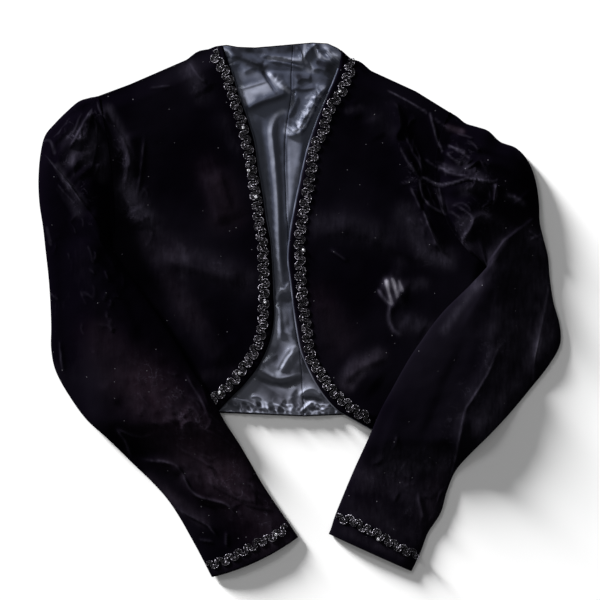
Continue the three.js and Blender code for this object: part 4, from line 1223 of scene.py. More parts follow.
# %% Painted sheen and shade at the neck
PAINTED_SHEEN_AND_SHADE = strokes(
    ([(-70, 287), (-42, 285), (-2, 287)], 5, -1.15),
    ([(-70, 278), (-55, 273), (-40, 266)], 5.5, -1),
    ([(-86, 287), (-79, 284), (-73, 278)], 1.9, 0.8),
    ([(-90, 280), (-81, 277)], 1.8, -0.9),
    ([(-81, 273), (-73, 275)], 1.7, 0.6),
    ([(-74, 286), (-66, 279)], 2.2, -0.7),
    ([(-53, 282), (-42, 279)], 1.5, 0.3),
    ([(-92, 275), (-84, 268)], 2.4, 0.4),
    ([(-33, 277), (-15, 275), (2, 273)], 2.6, 0.65),
    ([(-18, 270), (3, 267)], 1.8, 0.5),
    ([(-42, 289), (-33, 283), (-26, 286)], 2.2, 0.35),
    ([(6, 292), (4, 279), (7, 272)], 1.8, 0.7),
    ([(11, 293), (15, 284), (13, 275)], 2.4, -0.7),
    ([(15, 290), (22, 278), (33, 273), (42, 274)], 2, 0.75),
    ([(26, 290), (35, 282), (44, 275)], 2.4, 0.5),
    ([(29, 275), (37, 278)], 2, 0.5),
    ([(11, 264), (21, 264)], 4.5, 0.35),
    ([(24, 268), (36, 264), (37, 249)], 6.5, -1.25),
    ([(20, 272), (31, 270), (44, 273)], 2.6, -0.9),
    ([(-57, 268), (-33, 268), (-7, 270)], 2.6, -0.5),
    ([(0, 256), (13, 253), (26, 251)], 4.6, -0.7),
    ([(-4, 271), (-2, 262), (0, 253)], 3, -0.3),
)
print("strokes of lustre so far:", len(PAINTED_SHEEN_AND_SHADE))

# %% Painted sheen and shade of the broad roll and the pucker
PAINTED_SHEEN_AND_SHADE += strokes(
    ([(-63, 257), (-51, 261), (-42, 257)], 6, 0.22),
    ([(-63, 238), (-48, 242), (-33, 245)], 6.2, 0.75),
    ([(-62, 227), (-53, 232)], 4.5, 0.55),
    ([(-40, 261), (-33, 250), (-26, 238)], 1.9, -0.9),
    ([(-34, 260), (-25, 249), (-12, 240)], 2.3, 0.95),
    ([(-24, 253), (-15, 244)], 3, 0.25),
    ([(0, 244), (13, 242)], 6.5, -0.6),
    ([(-7, 262), (2, 251)], 3.5, -0.35),
    ([(-9, 246), (-9, 260)], 3, -0.25),
    ([(-56, 217), (-42, 226), (-18, 234)], 5, -0.6),
    ([(-45, 209), (-42, 176), (-37, 132), (-35, 77), (-33, 22)], 5.5, -0.6),
    ([(-9, 227), (-7, 216), (-10, 205)], 4, -0.6),
    ([(2, 233), (-2, 220), (0, 209)], 3.2, -0.2),
)
print("strokes of lustre so far:", len(PAINTED_SHEEN_AND_SHADE))

# %% Painted sheen and shade of the crumpled crest
PAINTED_SHEEN_AND_SHADE += strokes(
    ([(-15, 197), (-7, 197), (2, 205), (8, 215), (12, 224), (19, 235), (26, 246)], 3.8, 0.48),
    ([(3, 210), (9, 211), (11, 222)], 0.9, -1),
    ([(-4, 202), (-1, 198), (4, 197)], 0.8, -1),
    ([(-13, 200), (-9, 197)], 0.8, -0.9),
    ([(13, 227), (18, 231), (19, 239)], 0.9, -1),
    ([(-15, 204), (-11, 201)], 2, 0.5),
    ([(-3, 207), (1, 200), (7, 201)], 1.8, 0.45),
    ([(3, 218), (10, 213)], 1.8, 0.5),
    ([(9, 209), (15, 216)], 1.8, 0.3),
    ([(20, 244), (24, 238)], 1.6, -0.5),
    ([(-11, 195), (-4, 193)], 1.5, -0.4),
    ([(7, 233), (12, 238), (20, 249)], 1.4, 0.35),
    ([(14, 231), (18, 222)], 1.6, -0.4),
    ([(13, 207), (7, 194), (4, 165)], 4, -0.25),
)
print("strokes of lustre so far:", len(PAINTED_SHEEN_AND_SHADE))

# %% Painted sheen and shade beside the centre-back seam, and of the lower part
PAINTED_SHEEN_AND_SHADE += strokes(
    ([(-18, 218), (-28, 211), (-32, 198), (-31, 178), (-28, 154),
      (-25, 121), (-24, 72), (-23, 59), (-21, 42), (-22, 20)],
     3, 0.55),
    ([(-18, 209), (-23, 198), (-23, 176), (-20, 143), (-19, 110), (-18, 66), (-15, 31)], 3.4, -0.7),
    ([(-6, 189), (-7, 160), (-10, 127), (-13, 97)], 7.6, 0.34),
    ([(-3, 132), (-8, 108), (-11, 92)], 2.6, -0.55),
    ([(-25, 13), (-20, 22), (-15, 22), (-12, 29)], 1.8, 1.05),
    ([(-12, 26), (-10, 21)], 1.8, 0.5),
    ([(-20, 13), (-13, 11)], 4.2, -0.75),
    ([(-10, 11), (-10, -22)], 2.6, -0.45),
    ([(-25, 6), (-25, -22), (-28, -37)], 3.6, 0.6),
    ([(-32, 0), (-35, -33)], 3.4, -0.45),
    ([(-18, -31), (-9, -40)], 7, 0.3),
    ([(-4, -42), (-14, -55), (-23, -69)], 3.5, 1.05),
    ([(-35, -55), (-31, -67)], 5, 0.3),
    ([(-42, -62), (-33, -69), (-22, -74), (0, -70)], 1.6, 0.45),
    ([(-47, -74), (-33, -80), (-15, -82), (2, -75)], 3.2, -0.95),
    ([(-22, -95), (-33, -86)], 7, -0.2),
    ([(-59, -84), (-33, -92), (0, -90), (22, -99)], 14, 0.16),
    ([(-81, -111), (-42, -113), (0, -114), (35, -110)], 2.2, 0.5),
    ([(-15, -2), (-9, -22)], 7, 0.22),
    ([(-75, -103), (-68, -106)], 3.4, -0.7),
    ([(-62, -102), (-55, -108)], 2.4, -0.75),
    ([(-33, -109), (-26, -111)], 1.6, -0.5),
    ([(14, -107), (20, -109)], 2, -0.7),
    ([(-75, -97), (-59, -101), (-46, -107)], 1.5, 0.7),
    ([(-53, -96), (-44, -98), (-37, -105), (-35, -111)], 2.4, 0.75),
    ([(-48, -103), (-40, -109)], 1.8, -0.8),
    ([(-34, -89), (-22, -101)], 3.4, -0.5),
    ([(-14, -102), (-8, -110)], 4.2, 0.35),
    ([(-4, -97), (0, -109)], 2.8, -0.55),
    ([(1, -92), (12, -88), (21, -91)], 2.6, 1.05),
    ([(3, -97), (15, -97), (29, -101)], 2.3, -1),
    ([(2, -110), (9, -103), (15, -102), (24, -108)], 1.5, 0.85),
    ([(-33, -113), (-18, -114), (0, -114)], 1.6, 0.5),
)
print("strokes of lustre:", len(PAINTED_SHEEN_AND_SHADE))

# %% [markdown]
# ## The back
# The velvet back lies face down on the table, so it shows only at the hem and at the neck. A flat
# plane would do for a picture from above, but seen from low down a cloth needs its thickness. A
# plain flat wall is right for it.

# %% Back, in velvet
BACK_GRID = (110, 101)


def back_rows(t):
    """The right side, the centre back and the left side at the row positions t."""
    inner = np.minimum(t, LAST_ROW)
    past = np.clip(t - LAST_ROW, 0, 1)[:, None]
    lines = {side: np.array([side_point(side, v) for v in inner]) for side in SIDES}
    lines["centre"] = through(column("centre"), inner)
    return {name: line * (1 - past) + np.array(BACK_HEM[name]) * past for name, line in lines.items()}


def neck_y(x):
    """Where the back ends at the neck."""
    return np.interp(x, *np.array(NECK_EDGE, float).T)


def back_piece():
    t = np.linspace(0, LAST_ROW + 1, BACK_GRID[0])
    u = np.linspace(-1, 1, BACK_GRID[1])
    lines = {name: line[:, None, :] for name, line in back_rows(t).items()}
    end = np.where(u[None, :, None] < 0, lines["right"], lines["left"])
    spot = lines["centre"] + (end - lines["centre"]) * np.abs(u)[None, :, None]
    x, y = spot[..., 0], spot[..., 1]
    y = y + (neck_y(x) - y) * ease(1 - t)[:, None]
    top = np.full(x.shape, BACK_WALL)
    return wall("back_velvet", x, y, top, np.zeros(x.shape), paint_pile_sheen_and_shade("back", x, y))


back = back_piece()
print("back, in metres:", [round(size, 3) for size in back.dimensions])

# %% [markdown]
# ## The back lining
# Slippery satin, which shows every fold as a pale and a dark side. A subdivided plane with a noise
# displacement looks like water, because its waves have no cause. So its grid follows the cut, its
# height is the sum of the folds above, and its two halves meet at the centre-back seam, where each
# edge is turned down.

# %% Back lining, in two halves
LINING_ROWS = 300
LINING_SHARES = np.concatenate([np.linspace(0, 0.5, 76), np.linspace(0.5, 1, 16)[1:]])
LINING_INSET = 14
SEAM_HALF_GAP = 0.04
NECK_INSET = 1.5
HEM_INSET = 1.3
SHOULDER_DIP = dict(by=9, rows=5)
HEM_SHEEN_AND_SHADE = dict(below=-99, over=5)
CRUMPLE_SHEEN_AND_SHADE = 0.7


def lining_lustre(x, y):
    """Painted sheen and shade from the strokes, and fine painted highlights along the hem and over the crumpled
    places.
    """
    lustre = painted(PAINTED_SHEEN_AND_SHADE, x, y)
    # painted highlights on the crinkles of the hem and of the crumpled places, with a little painted shade between
    hem = ease((HEM_SHEEN_AND_SHADE["below"] - y) / HEM_SHEEN_AND_SHADE["over"])
    lustre += hem * (1.35 * crinkle(x, y, **HEM_CRINKLE) - 0.28 + 0.3 * ripple(x, y, 2.6, 36.0))
    crumpled = np.maximum(crease_height(CRUMPLED, x, y), 0)
    return lustre + CRUMPLE_SHEEN_AND_SHADE * crumpled * (1.5 * crinkle(x, y, 9, 34.0) - 0.35)


def back_lining(side):
    turn = -1 if side == "right" else 1
    t = np.linspace(0, LAST_ROW + 1, LINING_ROWS)
    lines = back_rows(t)
    end = lines[side] - np.array([turn * LINING_INSET, 0])
    start = lines["centre"] + np.array([turn * SEAM_HALF_GAP, 0])
    u = LINING_SHARES
    spot = start[:, None] + (end - start)[:, None] * u[None, :, None]
    x, y = spot[..., 0], spot[..., 1]
    rows = t[:, None]
    upper = neck_y(x) - NECK_INSET
    y = y + (upper - y) * ease(1 - rows)
    dip = SHOULDER_DIP["by"] * u[None, :] * np.minimum(rows, 1)
    dip = dip * np.clip(SHOULDER_DIP["rows"] - rows, 0, 1)
    squeeze = np.clip((rows - LAST_ROW + 1) / 2, 0, 1)
    y = np.minimum(y - dip + squeeze * HEM_INSET, upper)
    seam = np.abs(x - start[:, None, 0])
    top = lining_top(x, y) - 0.55 * rolled(seam, 0.9)
    x, y, top = left_to_right(side, x, y, top)
    return wall(f"satin_back_{side}", x, y, top, top - LINING_WALL, dict(lustre=lining_lustre(x, y)))


back_linings = {side: back_lining(side) for side in SIDES}
print("lining faces:", {side: len(piece.data.polygons) for side, piece in back_linings.items()})

# %% [markdown]
# ## The fronts
# Each front runs from its free edge to the shoulder, armhole and side seams, and its lower corner
# is rounded. It could be cut out of a flat sheet with a boolean, but a grid that follows the cut
# keeps its rows along the edge, so that the edge can be turned over the lining in a small round.

# %% Fronts, in velvet
FRONT_ROW_COUNT = 270
# columns close to the free edge first, in shares of the width, then even ones
FRONT_SHARES = np.concatenate([np.array([0, 0.5, 1.1, 1.8, 2.7]) / 180, np.linspace(0.022, 1, 118)])
FREE_EDGE = dict(radius=2.6, most=1.7)
DEEPEST_CREASE = -2.4
CREASE_RAMP = 25
THINNEST_FRONT = 1.2


def front_rows(side, t):
    """The free edge and the outer edge of a front at the row positions t."""
    hem = FRONT_HEM[side]
    edge = through(np.vstack([column(f"{side}_edge"), [row["edge"] for row in hem]]), t)
    chain = np.vstack([side_point(side, LAST_ROW), [row["outer"] for row in hem]])
    outer = np.array([
        side_point(side, v) if v <= LAST_ROW
        else [np.interp(v - LAST_ROW, range(len(chain)), chain[:, k]) for k in (0, 1)]
        for v in t
    ])
    return edge, outer


def front_top(side, x, y):
    """The height of a front's face, with its fine creases."""
    fine = crease_height(FRONT_CREASES[side] + HEAD_CREASES[side], x, y)
    fine += 0.35 * ripple(x, y, 22, 5.0 + (side == "left"))
    fine *= ease(seam_distance(side, x, y) / CREASE_RAMP)
    return front_under(side, x, y) + FRONT_WALL + np.maximum(fine, DEEPEST_CREASE)


def front_piece(side):
    t = np.linspace(0, LAST_ROW + len(FRONT_HEM[side]), FRONT_ROW_COUNT)
    u = FRONT_SHARES
    edge, outer = front_rows(side, t)
    spot = edge[:, None] + (outer - edge)[:, None] * u[None, :, None]
    x, y = spot[..., 0], spot[..., 1]
    width = np.hypot(*(outer - edge).T)[:, None]
    top = front_top(side, x, y)
    under = np.minimum(front_under(side, x, y), top - THINNEST_FRONT)
    top = top - np.minimum(rolled(u[None, :] * width, FREE_EDGE["radius"]), FREE_EDGE["most"])
    x, y, top, under = left_to_right(side, x, y, top, under)
    paint = paint_pile_sheen_and_shade(f"front_{side}", x, y, FRONT_CREASES[side] + HEAD_CREASES[side])
    return wall(f"velvet_front_{side}", x, y, top, under, paint)


fronts = {side: front_piece(side) for side in SIDES}
print("front faces:", {side: len(piece.data.polygons) for side, piece in fronts.items()})

# %% [markdown]
# ## The turned edge of the front lining
# A hair's breadth of satin shows along each free edge, where the lining is rolled out from under
# the velvet. A bevel on the front would give the round, but not the other cloth, so it is a narrow
# strip of its own with a rounded lip.

# %% Rolled satin edge
# painted shade on the right strip, and next to none on the left
EDGE_SHEEN_AND_SHADE = dict(right=-0.9, left=0.05)
EDGE_ROWS = 420
EDGE_FIRST_ROW = 2
# across the strip, from the lip inwards: how far in from the edge, and its height against the front
EDGE_SECTION = [(-1.5, -0.5), (-1.2, -0.12), (-0.6, 0.0), (0.2, 0.0), (1.5, -0.1), (8.6, -0.4)]
EDGE_GAP = 0.1


def satin_edge(side):
    t = np.linspace(EDGE_FIRST_ROW, LAST_ROW + len(FRONT_HEM[side]), EDGE_ROWS)
    edge, outer = front_rows(side, t)
    into = (outer - edge) / np.hypot(*(outer - edge).T)[:, None]
    offsets, rise = np.array(EDGE_SECTION).T
    wobble = 0.35 * ripple(edge[:, 0], edge[:, 1], 9, 8.0)
    spot = edge[:, None] + into[:, None] * (offsets[None, :, None] + wobble[:, None, None])
    x, y = spot[..., 0], spot[..., 1]
    under = front_under(side, edge[:, 0], edge[:, 1])[:, None]
    top = np.minimum(under, front_under(side, x, y)) - EDGE_GAP + rise[None, :]
    x, y, top = left_to_right(side, x, y, top)
    # painted sheen and shade of the strip, a little uneven along it
    lustre = EDGE_SHEEN_AND_SHADE[side] + 0.5 * ripple(x, y, 14, 35.0)
    return wall(f"satin_edge_{side}", x, y, top, top - LINING_WALL, dict(lustre=lustre))


satin_edges = {side: satin_edge(side) for side in SIDES}
print("satin strips, from neck to hem:", [round(satin_edges[side].dimensions.y, 3) for side in SIDES])

# %% [markdown]
# ## The sleeves
# A sleeve is a tube pressed flat: an upper layer, a lower layer, and a fold at each edge. A
# cylinder could be flattened and bent, but its rings would bunch at the elbow. So each row of the
# table is a section from the outline of the jacket to the fold that lies in over the front. At the
# armhole the sections fan out, because the sleeve is turned down from the shoulder, and there the
# head is gathered and stands high.

# %% Sections of the right sleeve
# outer edge x and y, inner edge x and y, bow of the line between them, how much of the ground's
# height lifts it, and how high its upper layer stands
SLEEVE_ROWS = {}
SLEEVE_ROWS["right"] = [
    (-223.4, 234.8, -205.9, 70, 6, 0.0, 8.4),
    (-232, 233, -206, 69.8, 5.5, 0.0, 12),
    (-243, 229, -206.1, 69.6, 5, 0.05, 17),
    (-256, 218, -206.2, 69.4, 4, 0.15, 21),
    (-269, 205, -206.3, 69.1, 3, 0.3, 22),
    (-280, 191, -206.3, 68.8, 2, 0.5, 21),
    (-285, 170, -206.3, 68.4, 1, 0.7, 18),
    (-287, 144, -206.1, 67.8, 0.5, 0.9, 15),
    (-286, 118, -204.8, 66.5, 0, 1, 13),
    (-282, 91, -200.5, 60.5, 0, 1, 12),
    (-279, 64, -193, 49, 0, 1, 11),
    (-276, 37, -184, 36, 0, 1, 10),
    (-274, 10, -171, 17, 0, 1, 9.5),
    (-273, -18, -158, -1, 0, 1, 9.5),
    (-273, -43, -146, -19, 0, 1, 9.5),
    (-268, -67, -133, -39, 0, 1, 9.5),
    (-254, -93, -119, -63, 0, 1, 9.5),
    (-235, -119, -105, -84, 0, 1, 9.5),
    (-211, -141, -93, -102, 0, 1, 9.5),
    (-187, -165, -82, -122, 0, 1, 9),
    (-163, -188, -68, -144, 0, 1, 9),
    (-146, -207, -54, -168, 0, 1, 8.5),
    (-133, -226, -41, -191, 0, 1, 8),
    (-121, -247, -28, -211, 0, 1, 7.5),
    (-109, -269, -14, -231, 0, 1, 7),
    (-96.5, -293.5, -1.5, -249.5, -5, 1, 7),
]
print("sections of the right sleeve:", len(SLEEVE_ROWS["right"]))

# %% Sections of the left sleeve
SLEEVE_ROWS["left"] = [
    (166.6, 217.4, 204.9, 48.2, 33, 0.0, 8.4),
    (174, 212, 205, 48.1, 31, 0.0, 12),
    (183, 205, 205.1, 48, 28, 0.05, 17),
    (196, 201, 205.2, 47.9, 25, 0.1, 20),
    (208, 196.5, 205.3, 47.8, 21, 0.2, 22),
    (220.5, 185, 205.3, 47.6, 17, 0.35, 22),
    (238, 178, 205.3, 47.4, 13, 0.5, 20),
    (251, 164, 205.2, 47.1, 9, 0.65, 18),
    (259, 144, 204.9, 46.7, 6, 0.8, 16),
    (263, 120, 203.8, 45.6, 3, 0.95, 14),
    (264, 97, 200.5, 42, 1, 1, 13),
    (268, 79, 194, 35, 0, 1, 12),
    (273, 59, 184, 24.5, 0, 1, 11),
    (275, 36, 172, 13, 0, 1, 10),
    (279, 9, 158, -1, 0, 1, 9.5),
    (286, -17, 145, -17, 0, 1, 9.5),
    (286, -39, 133, -34, 0, 1, 9.5),
    (273, -62, 122, -50, 0, 1, 9.5),
    (254, -86, 112, -67, 0, 1, 9.5),
    (234, -110, 101, -87, 0, 1, 9.5),
    (213, -132, 89, -109, 0, 1, 9),
    (191, -154, 79, -132, 0, 1, 9),
    (172, -176, 68, -157, 0, 1, 8.5),
    (162, -199, 57, -182, 0, 1, 8),
    (155, -223, 47, -206, 0, 1, 7.5),
    (141, -245, 39, -226, 0, 1, 7),
    (133, -266, 34.5, -240, 0, 1, 7),
    (123, -287, 32, -246, 0, 1, 7),
]
print("sections of the left sleeve:", len(SLEEVE_ROWS["left"]))

# %% Relief and gathers of a sleeve
GATHERS = dict(count=9, deep=1.7, rows=6.5, until=0.72, fade=0.4)
FOLD_BACK = dict(high=2.4, ramp=2.4, reach=38)


def sleeve_relief(side, x, y):
    """Folds, creases and soft unevenness, and the step where the sleeve folds back over its head."""
    relief = crease_height(SLEEVE_FOLDS[side] + SLEEVE_CREASES[side] + HEAD_CREASES[side], x, y)
    relief += 0.7 * ripple(x, y, 34, 2.0) + 0.25 * ripple(x, y, 12, 4.0)
    d, which, place = line_distance(x, y, FOLD_OVER[side])
    arm_side = -which if side == "right" else which
    step = FOLD_BACK["high"] * ease(arm_side * d / FOLD_BACK["ramp"] + 0.5)
    step = step * np.exp(-((d / FOLD_BACK["reach"]) ** 2))
    return relief + step * ease(np.minimum(place, 1 - place) * 6)


def gathered_head(k, s, x, y):
    """Ridges that run down from the armhole and fade out along the sleeve."""
    deep = GATHERS["deep"] * ease((GATHERS["until"] - s) / GATHERS["fade"])
    deep = deep * np.clip(1 - k / GATHERS["rows"], 0, 1) * np.clip(k * 2, 0, 1)
    return deep * np.cos(2 * math.pi * (GATHERS["count"] * s + 0.5 * ripple(x, y, 30, 9.0)))


on_arm = np.array([-230.0]), np.array([90.0])
print("relief at one place of the right sleeve:", sleeve_relief("right", *on_arm).round(2))

# %% The two layers of a flattened tube
SLEEVE_WALL = 1.6
EDGE_ROUND = 2.2
EDGE_SHARE = 0.1
CROWN_POWER = 2.6
# the gathered head stands over the armhole seam by this much, over the first rows
HEAD_OVER = dict(by=2.4, rows=0.8, rise=4.0)
HEAD_SHARE = 0.08
UNDERARM = 0.97


def section(table, k, s, side):
    """The row of the table at section k, and the place at share s across it."""
    row = through(table, k)
    spot = bowed(row[..., 0:2], row[..., 2:4], row[..., 4], s, side)
    return row, spot[..., 0], spot[..., 1]


def sleeve_layers(side, k, s):
    """Place, lower height and upper height of the tube at section k and share s across it."""
    table = np.array(SLEEVE_ROWS[side], float)
    row, x, y = section(table, k, s, side)
    lift, high = row[..., 5], row[..., 6]
    seam_top = front_top(side, *section(table, k * 0, s, side)[1:]) + SLEEVE_WALL + SEAM_GAP
    base = ground(side, x, y) * np.clip(lift, 0, 1)
    near_edge = 1 - np.abs(2 * s - 1)
    low = base + EDGE_ROUND * (1 - np.minimum(1, np.sqrt(near_edge / EDGE_SHARE)))
    crown = np.sqrt(np.maximum(0, 1 - np.abs(2 * s - 1) ** CROWN_POWER))
    up = base + EDGE_ROUND + (high - EDGE_ROUND) * crown
    relief = sleeve_relief(side, x, y) * np.clip(k / 1.5, 0, 1)
    up += (relief + gathered_head(k, s, x, y)) * np.minimum(1, crown * 1.3)
    up = np.maximum(up, low + 2 * SLEEVE_WALL * crown)
    underarm = ease((UNDERARM - s) / EDGE_SHARE)
    short = np.maximum(0, seam_top - up) * ease(1 - k / HEAD_OVER["rise"])
    up += short * ease(s / HEAD_SHARE) * underarm
    up = np.maximum(up, seam_top * (ease(1 - k / HEAD_OVER["rows"]) * underarm))
    return x, y, low, up


middle_of_arm = sleeve_layers("right", np.array([16.0, 24.0]), np.array([0.5, 0.5]))
print("height of the right sleeve at its elbow and wrist:", middle_of_arm[3].round(1))

# %% The tube, turned in at both ends
TUBE = dict(around=112, head=170, arm=191, head_rows=7, turned=0.7, turned_in=8, cap=6)
FLAT_WIDTH = 150
ROW_STEP = 22
THINNEST_HALF = 0.15


def around(fine):
    """Shares once round the flattened tube: over the top, then back underneath."""
    bend = (1 - np.cos(np.linspace(0, math.pi, fine))) / 2
    over = 0.55 * bend + 0.45 * np.linspace(0, 1, fine)
    below = (1 - np.cos(np.linspace(0, math.pi, fine // 3))) / 2
    back = below[-2:0:-1]
    return np.concatenate([over, back]), np.concatenate([np.ones(fine), np.zeros(len(back))])


def tube_sheet(side, k, s, upper, inside):
    """One stretch of the tube, either its outer face or the part that is turned in."""
    kk, ss = np.meshgrid(k, s, indexing="ij")
    if inside:
        inset = SLEEVE_WALL / FLAT_WIDTH
        ss = inset + ss * (1 - 2 * inset)
    x, y, low, up = sleeve_layers(side, kk, ss)
    middle = (low + up) / 2
    half = np.maximum(THINNEST_HALF, (up - low) / 2 - SLEEVE_WALL) if inside else (up - low) / 2
    half = np.where((s == 0) | (s == 1), 0, half)
    z = np.where(upper > 0, middle + half, middle - half)
    over = ease(1 - kk / HEAD_OVER["rows"]) * upper * ease((1 - ss) / EDGE_SHARE) * HEAD_OVER["by"]
    x = x + over * (1 if side == "right" else -1)
    z = np.where((s == 0) & (kk < 0.3), up - (SLEEVE_WALL if inside else 0), z)
    return x, y, z, kk, ss


def sleeve_piece(side):
    last = len(SLEEVE_ROWS[side]) - 1
    s, upper = around(TUBE["around"])
    head, turned = TUBE["head_rows"], TUBE["turned"]
    head_k, arm_k = np.linspace(0, head, TUBE["head"]), np.linspace(head, last, TUBE["arm"])
    outer_k = np.concatenate([head_k, arm_k[1:]])
    stretches = [
        (np.linspace(turned, 0, TUBE["cap"]), True),
        (outer_k, False),
        (np.linspace(last, last - turned, TUBE["turned_in"]), True),
    ]
    sheets = [tube_sheet(side, k, s, upper, inside) for k, inside in stretches]
    x, y, z, kk, ss = (np.concatenate(parts) for parts in zip(*sheets))
    rows, columns = x.shape
    index = np.arange(rows * columns).reshape(rows, columns)
    across = np.roll(index, -1, axis=1)
    faces = np.stack([index[:-1], index[1:], across[1:], across[:-1]], axis=-1).reshape(-1, 4)
    if side == "left":
        faces = faces[:, ::-1]
    points = np.stack([x, y, z], axis=-1).reshape(-1, 3)
    paint = paint_pile_sheen_and_shade(f"sleeve_{side}", x, y, SLEEVE_CREASES[side] + HEAD_CREASES[side])
    paint = {key: values * upper[None, :] for key, values in paint.items()}
    uv = np.stack([ss * FLAT_WIDTH, kk * ROW_STEP], axis=-1).reshape(-1, 2)
    return make_piece(f"velvet_sleeve_{side}", points, faces, uv, paint)


sleeves = {side: sleeve_piece(side) for side in SIDES}
print("sleeve faces:", {side: len(piece.data.polygons) for side, piece in sleeves.items()})

# %% [markdown]
# ## Gimp braid
# Gimp is made of fine cords laid side by side in a band that meanders from edge to edge in round
# scrolls. A bump texture on a flat ribbon would be cheap, but its edge would stay straight and it
# would cast no shadow. Here three cords follow one meander, each at its own distance from the
# middle of the band, and each is swept as a thin two-ply tube that lies on the velvet.

# %% Lines of the braid
BRAID_LINES = dict(
    front_right=[
        (-95, 284), (-91, 275), (-85, 266), (-79, 256), (-76, 243), (-72, 232), (-69, 221),
        (-64, 207), (-61, 196), (-58.5, 184), (-55.5, 173), (-53, 160), (-51, 146), (-50, 134),
        (-46.5, 117), (-44.5, 95), (-41, 77), (-40, 58), (-39, 33), (-39, 10), (-40, -7), (-42, -24),
        (-45, -36), (-51, -48), (-58, -58), (-65, -68), (-73, -78), (-81, -86), (-89, -93),
        (-97, -100), (-103, -103),
    ],
    front_left=[
        (54, 275), (55.5, 268), (54, 258), (50, 250), (45.5, 238), (37, 227), (31, 216.5),
        (28, 204.5), (26, 194), (19, 184), (15, 171), (14, 159), (13, 151), (10, 139), (8, 127),
        (6, 115), (3, 99), (0.5, 80), (0.5, 64), (0.8, 45), (2, 26), (3.5, 10), (6, -7), (8, -24),
        (10.5, -41), (14, -56), (21.5, -67), (28.5, -78), (36, -88.5), (46, -98), (57, -107),
        (67, -114), (78, -120),
    ],
    cuff_right=[
        (-101.5, -281), (-92, -278), (-81, -274.5), (-71, -269.5), (-61, -264), (-46, -256),
        (-34, -251), (-24, -245.5), (-13, -238),
    ],
    cuff_left=[
        (40.5, -228), (49, -229.5), (58, -231), (70, -238.5), (83, -244), (92, -250), (104, -257.5),
        (115, -263), (124, -266.5), (131.5, -268.5),
    ],
)


print("points along each braid:", {name: len(line) for name, line in BRAID_LINES.items()})

# %% The cloth's height under a place


def piece_height(piece):
    """A function for the height of a piece's upper surface, in millimetres."""
    tree = BVHTree.FromObject(piece, bpy.context.evaluated_depsgraph_get())

    def height(x, y):
        hit = tree.ray_cast(Vector((x * MM, y * MM, 0.1)), Vector((0, 0, -1)))[0]
        return hit.z / MM if hit else np.nan

    return height


print("height of the right front at one place:", round(piece_height(fronts["right"])(-100, 0), 2))

# %% One cord
CORD_RADIUS = 0.42
CORD_SIDES = 6
CORD_STEP = 0.46
PLY_LAY = 3.1
PLY_DEEP = 0.26


def even(points, step):
    """The same line, with points at even steps along it."""
    run = np.concatenate([[0], np.cumsum(np.linalg.norm(np.diff(points, axis=0), axis=1))])
    at = np.linspace(0, run[-1], int(run[-1] / step) + 1)
    return np.stack([np.interp(at, run, points[:, k]) for k in range(points.shape[1])], axis=-1), at


def cord_tube(line):
    """One two-ply cord: rings round a line, each turned a little further, with a cap at both ends."""
    points, run = even(line, CORD_STEP)
    along = np.gradient(points, axis=0)
    along /= np.linalg.norm(along, axis=1)[:, None]
    across = np.cross(along, (0, 0, 1.0))
    across /= np.linalg.norm(across, axis=1)[:, None]
    up = np.cross(across, along)
    angle = np.arange(CORD_SIDES) * 2 * math.pi / CORD_SIDES
    ply = np.cos(2 * angle[None, :] - 2 * math.pi * run[:, None] / PLY_LAY)
    reach = (CORD_RADIUS * (1 + PLY_DEEP * ply))[..., None]
    ring = across[:, None] * np.cos(angle)[None, :, None] + up[:, None] * np.sin(angle)[None, :, None]
    rings = points[:, None] + ring * reach
    index = np.arange(len(points) * CORD_SIDES).reshape(-1, CORD_SIDES)
    turn = np.roll(index, -1, axis=1)
    faces = np.stack([index[:-1], turn[:-1], turn[1:], index[1:]], axis=-1).reshape(-1, 4).tolist()
    faces += [index[0][::-1].tolist(), index[-1].tolist()]
    uv = np.stack(np.meshgrid(run, angle * CORD_RADIUS, indexing="ij")[::-1], axis=-1).reshape(-1, 2)
    return rings.reshape(-1, 3), faces, uv, ply.ravel()


short_cord = cord_tube(np.array([(0, 0, 0), (10, 0, 0)], float))
print("faces in a centimetre of cord:", len(short_cord[1]))

# %% The meander
WAVE_LENGTH = 11.4
WAVE_STEPS = 48
WAVE_OVERLAP = -1.15
SWING = dict(front=4.2, cuff=3.4)
LINE_STEPS = 1500


def meander(line, swing):
    """The middle of the band, as distance along the braid and sway to its side."""
    smooth = through(line, np.linspace(0, len(line) - 1, LINE_STEPS))
    run = np.concatenate([[0], np.cumsum(np.hypot(*np.diff(smooth, axis=0).T))])
    waves = round(run[-1] / WAVE_LENGTH * 2) / 2
    turn = np.linspace(0, 2 * math.pi * waves, int(waves * WAVE_STEPS))
    along = run[-1] / waves * turn / (2 * math.pi) + WAVE_OVERLAP * np.sin(2 * turn)
    along += 0.9 * ripple(turn, turn * 0, 4.0, 6.0)
    sway = swing * np.sin(turn) * (1 + 0.28 * ripple(turn, turn * 0, 5.0, 7.0))
    return smooth, run, turn, along, sway


short_line = [(0, 0), (20, 0), (40, 0), (60, 0)]
print("points of a meander of 60 mm:", len(meander(short_line, SWING["front"])[2]))

# %% The band of cords that follows it
# how far each cord lies from the middle of the band, and how bright the painted glint on its plies is; the dim middle
# cord is painted shade between the other two
CORDS = ((-1.6, 1.0), (0.0, 0.12), (1.6, 0.8))
CORD_LOOSE = 0.32
CORD_CLEAR = 0.35
SCROLL_HUMP = 0.35


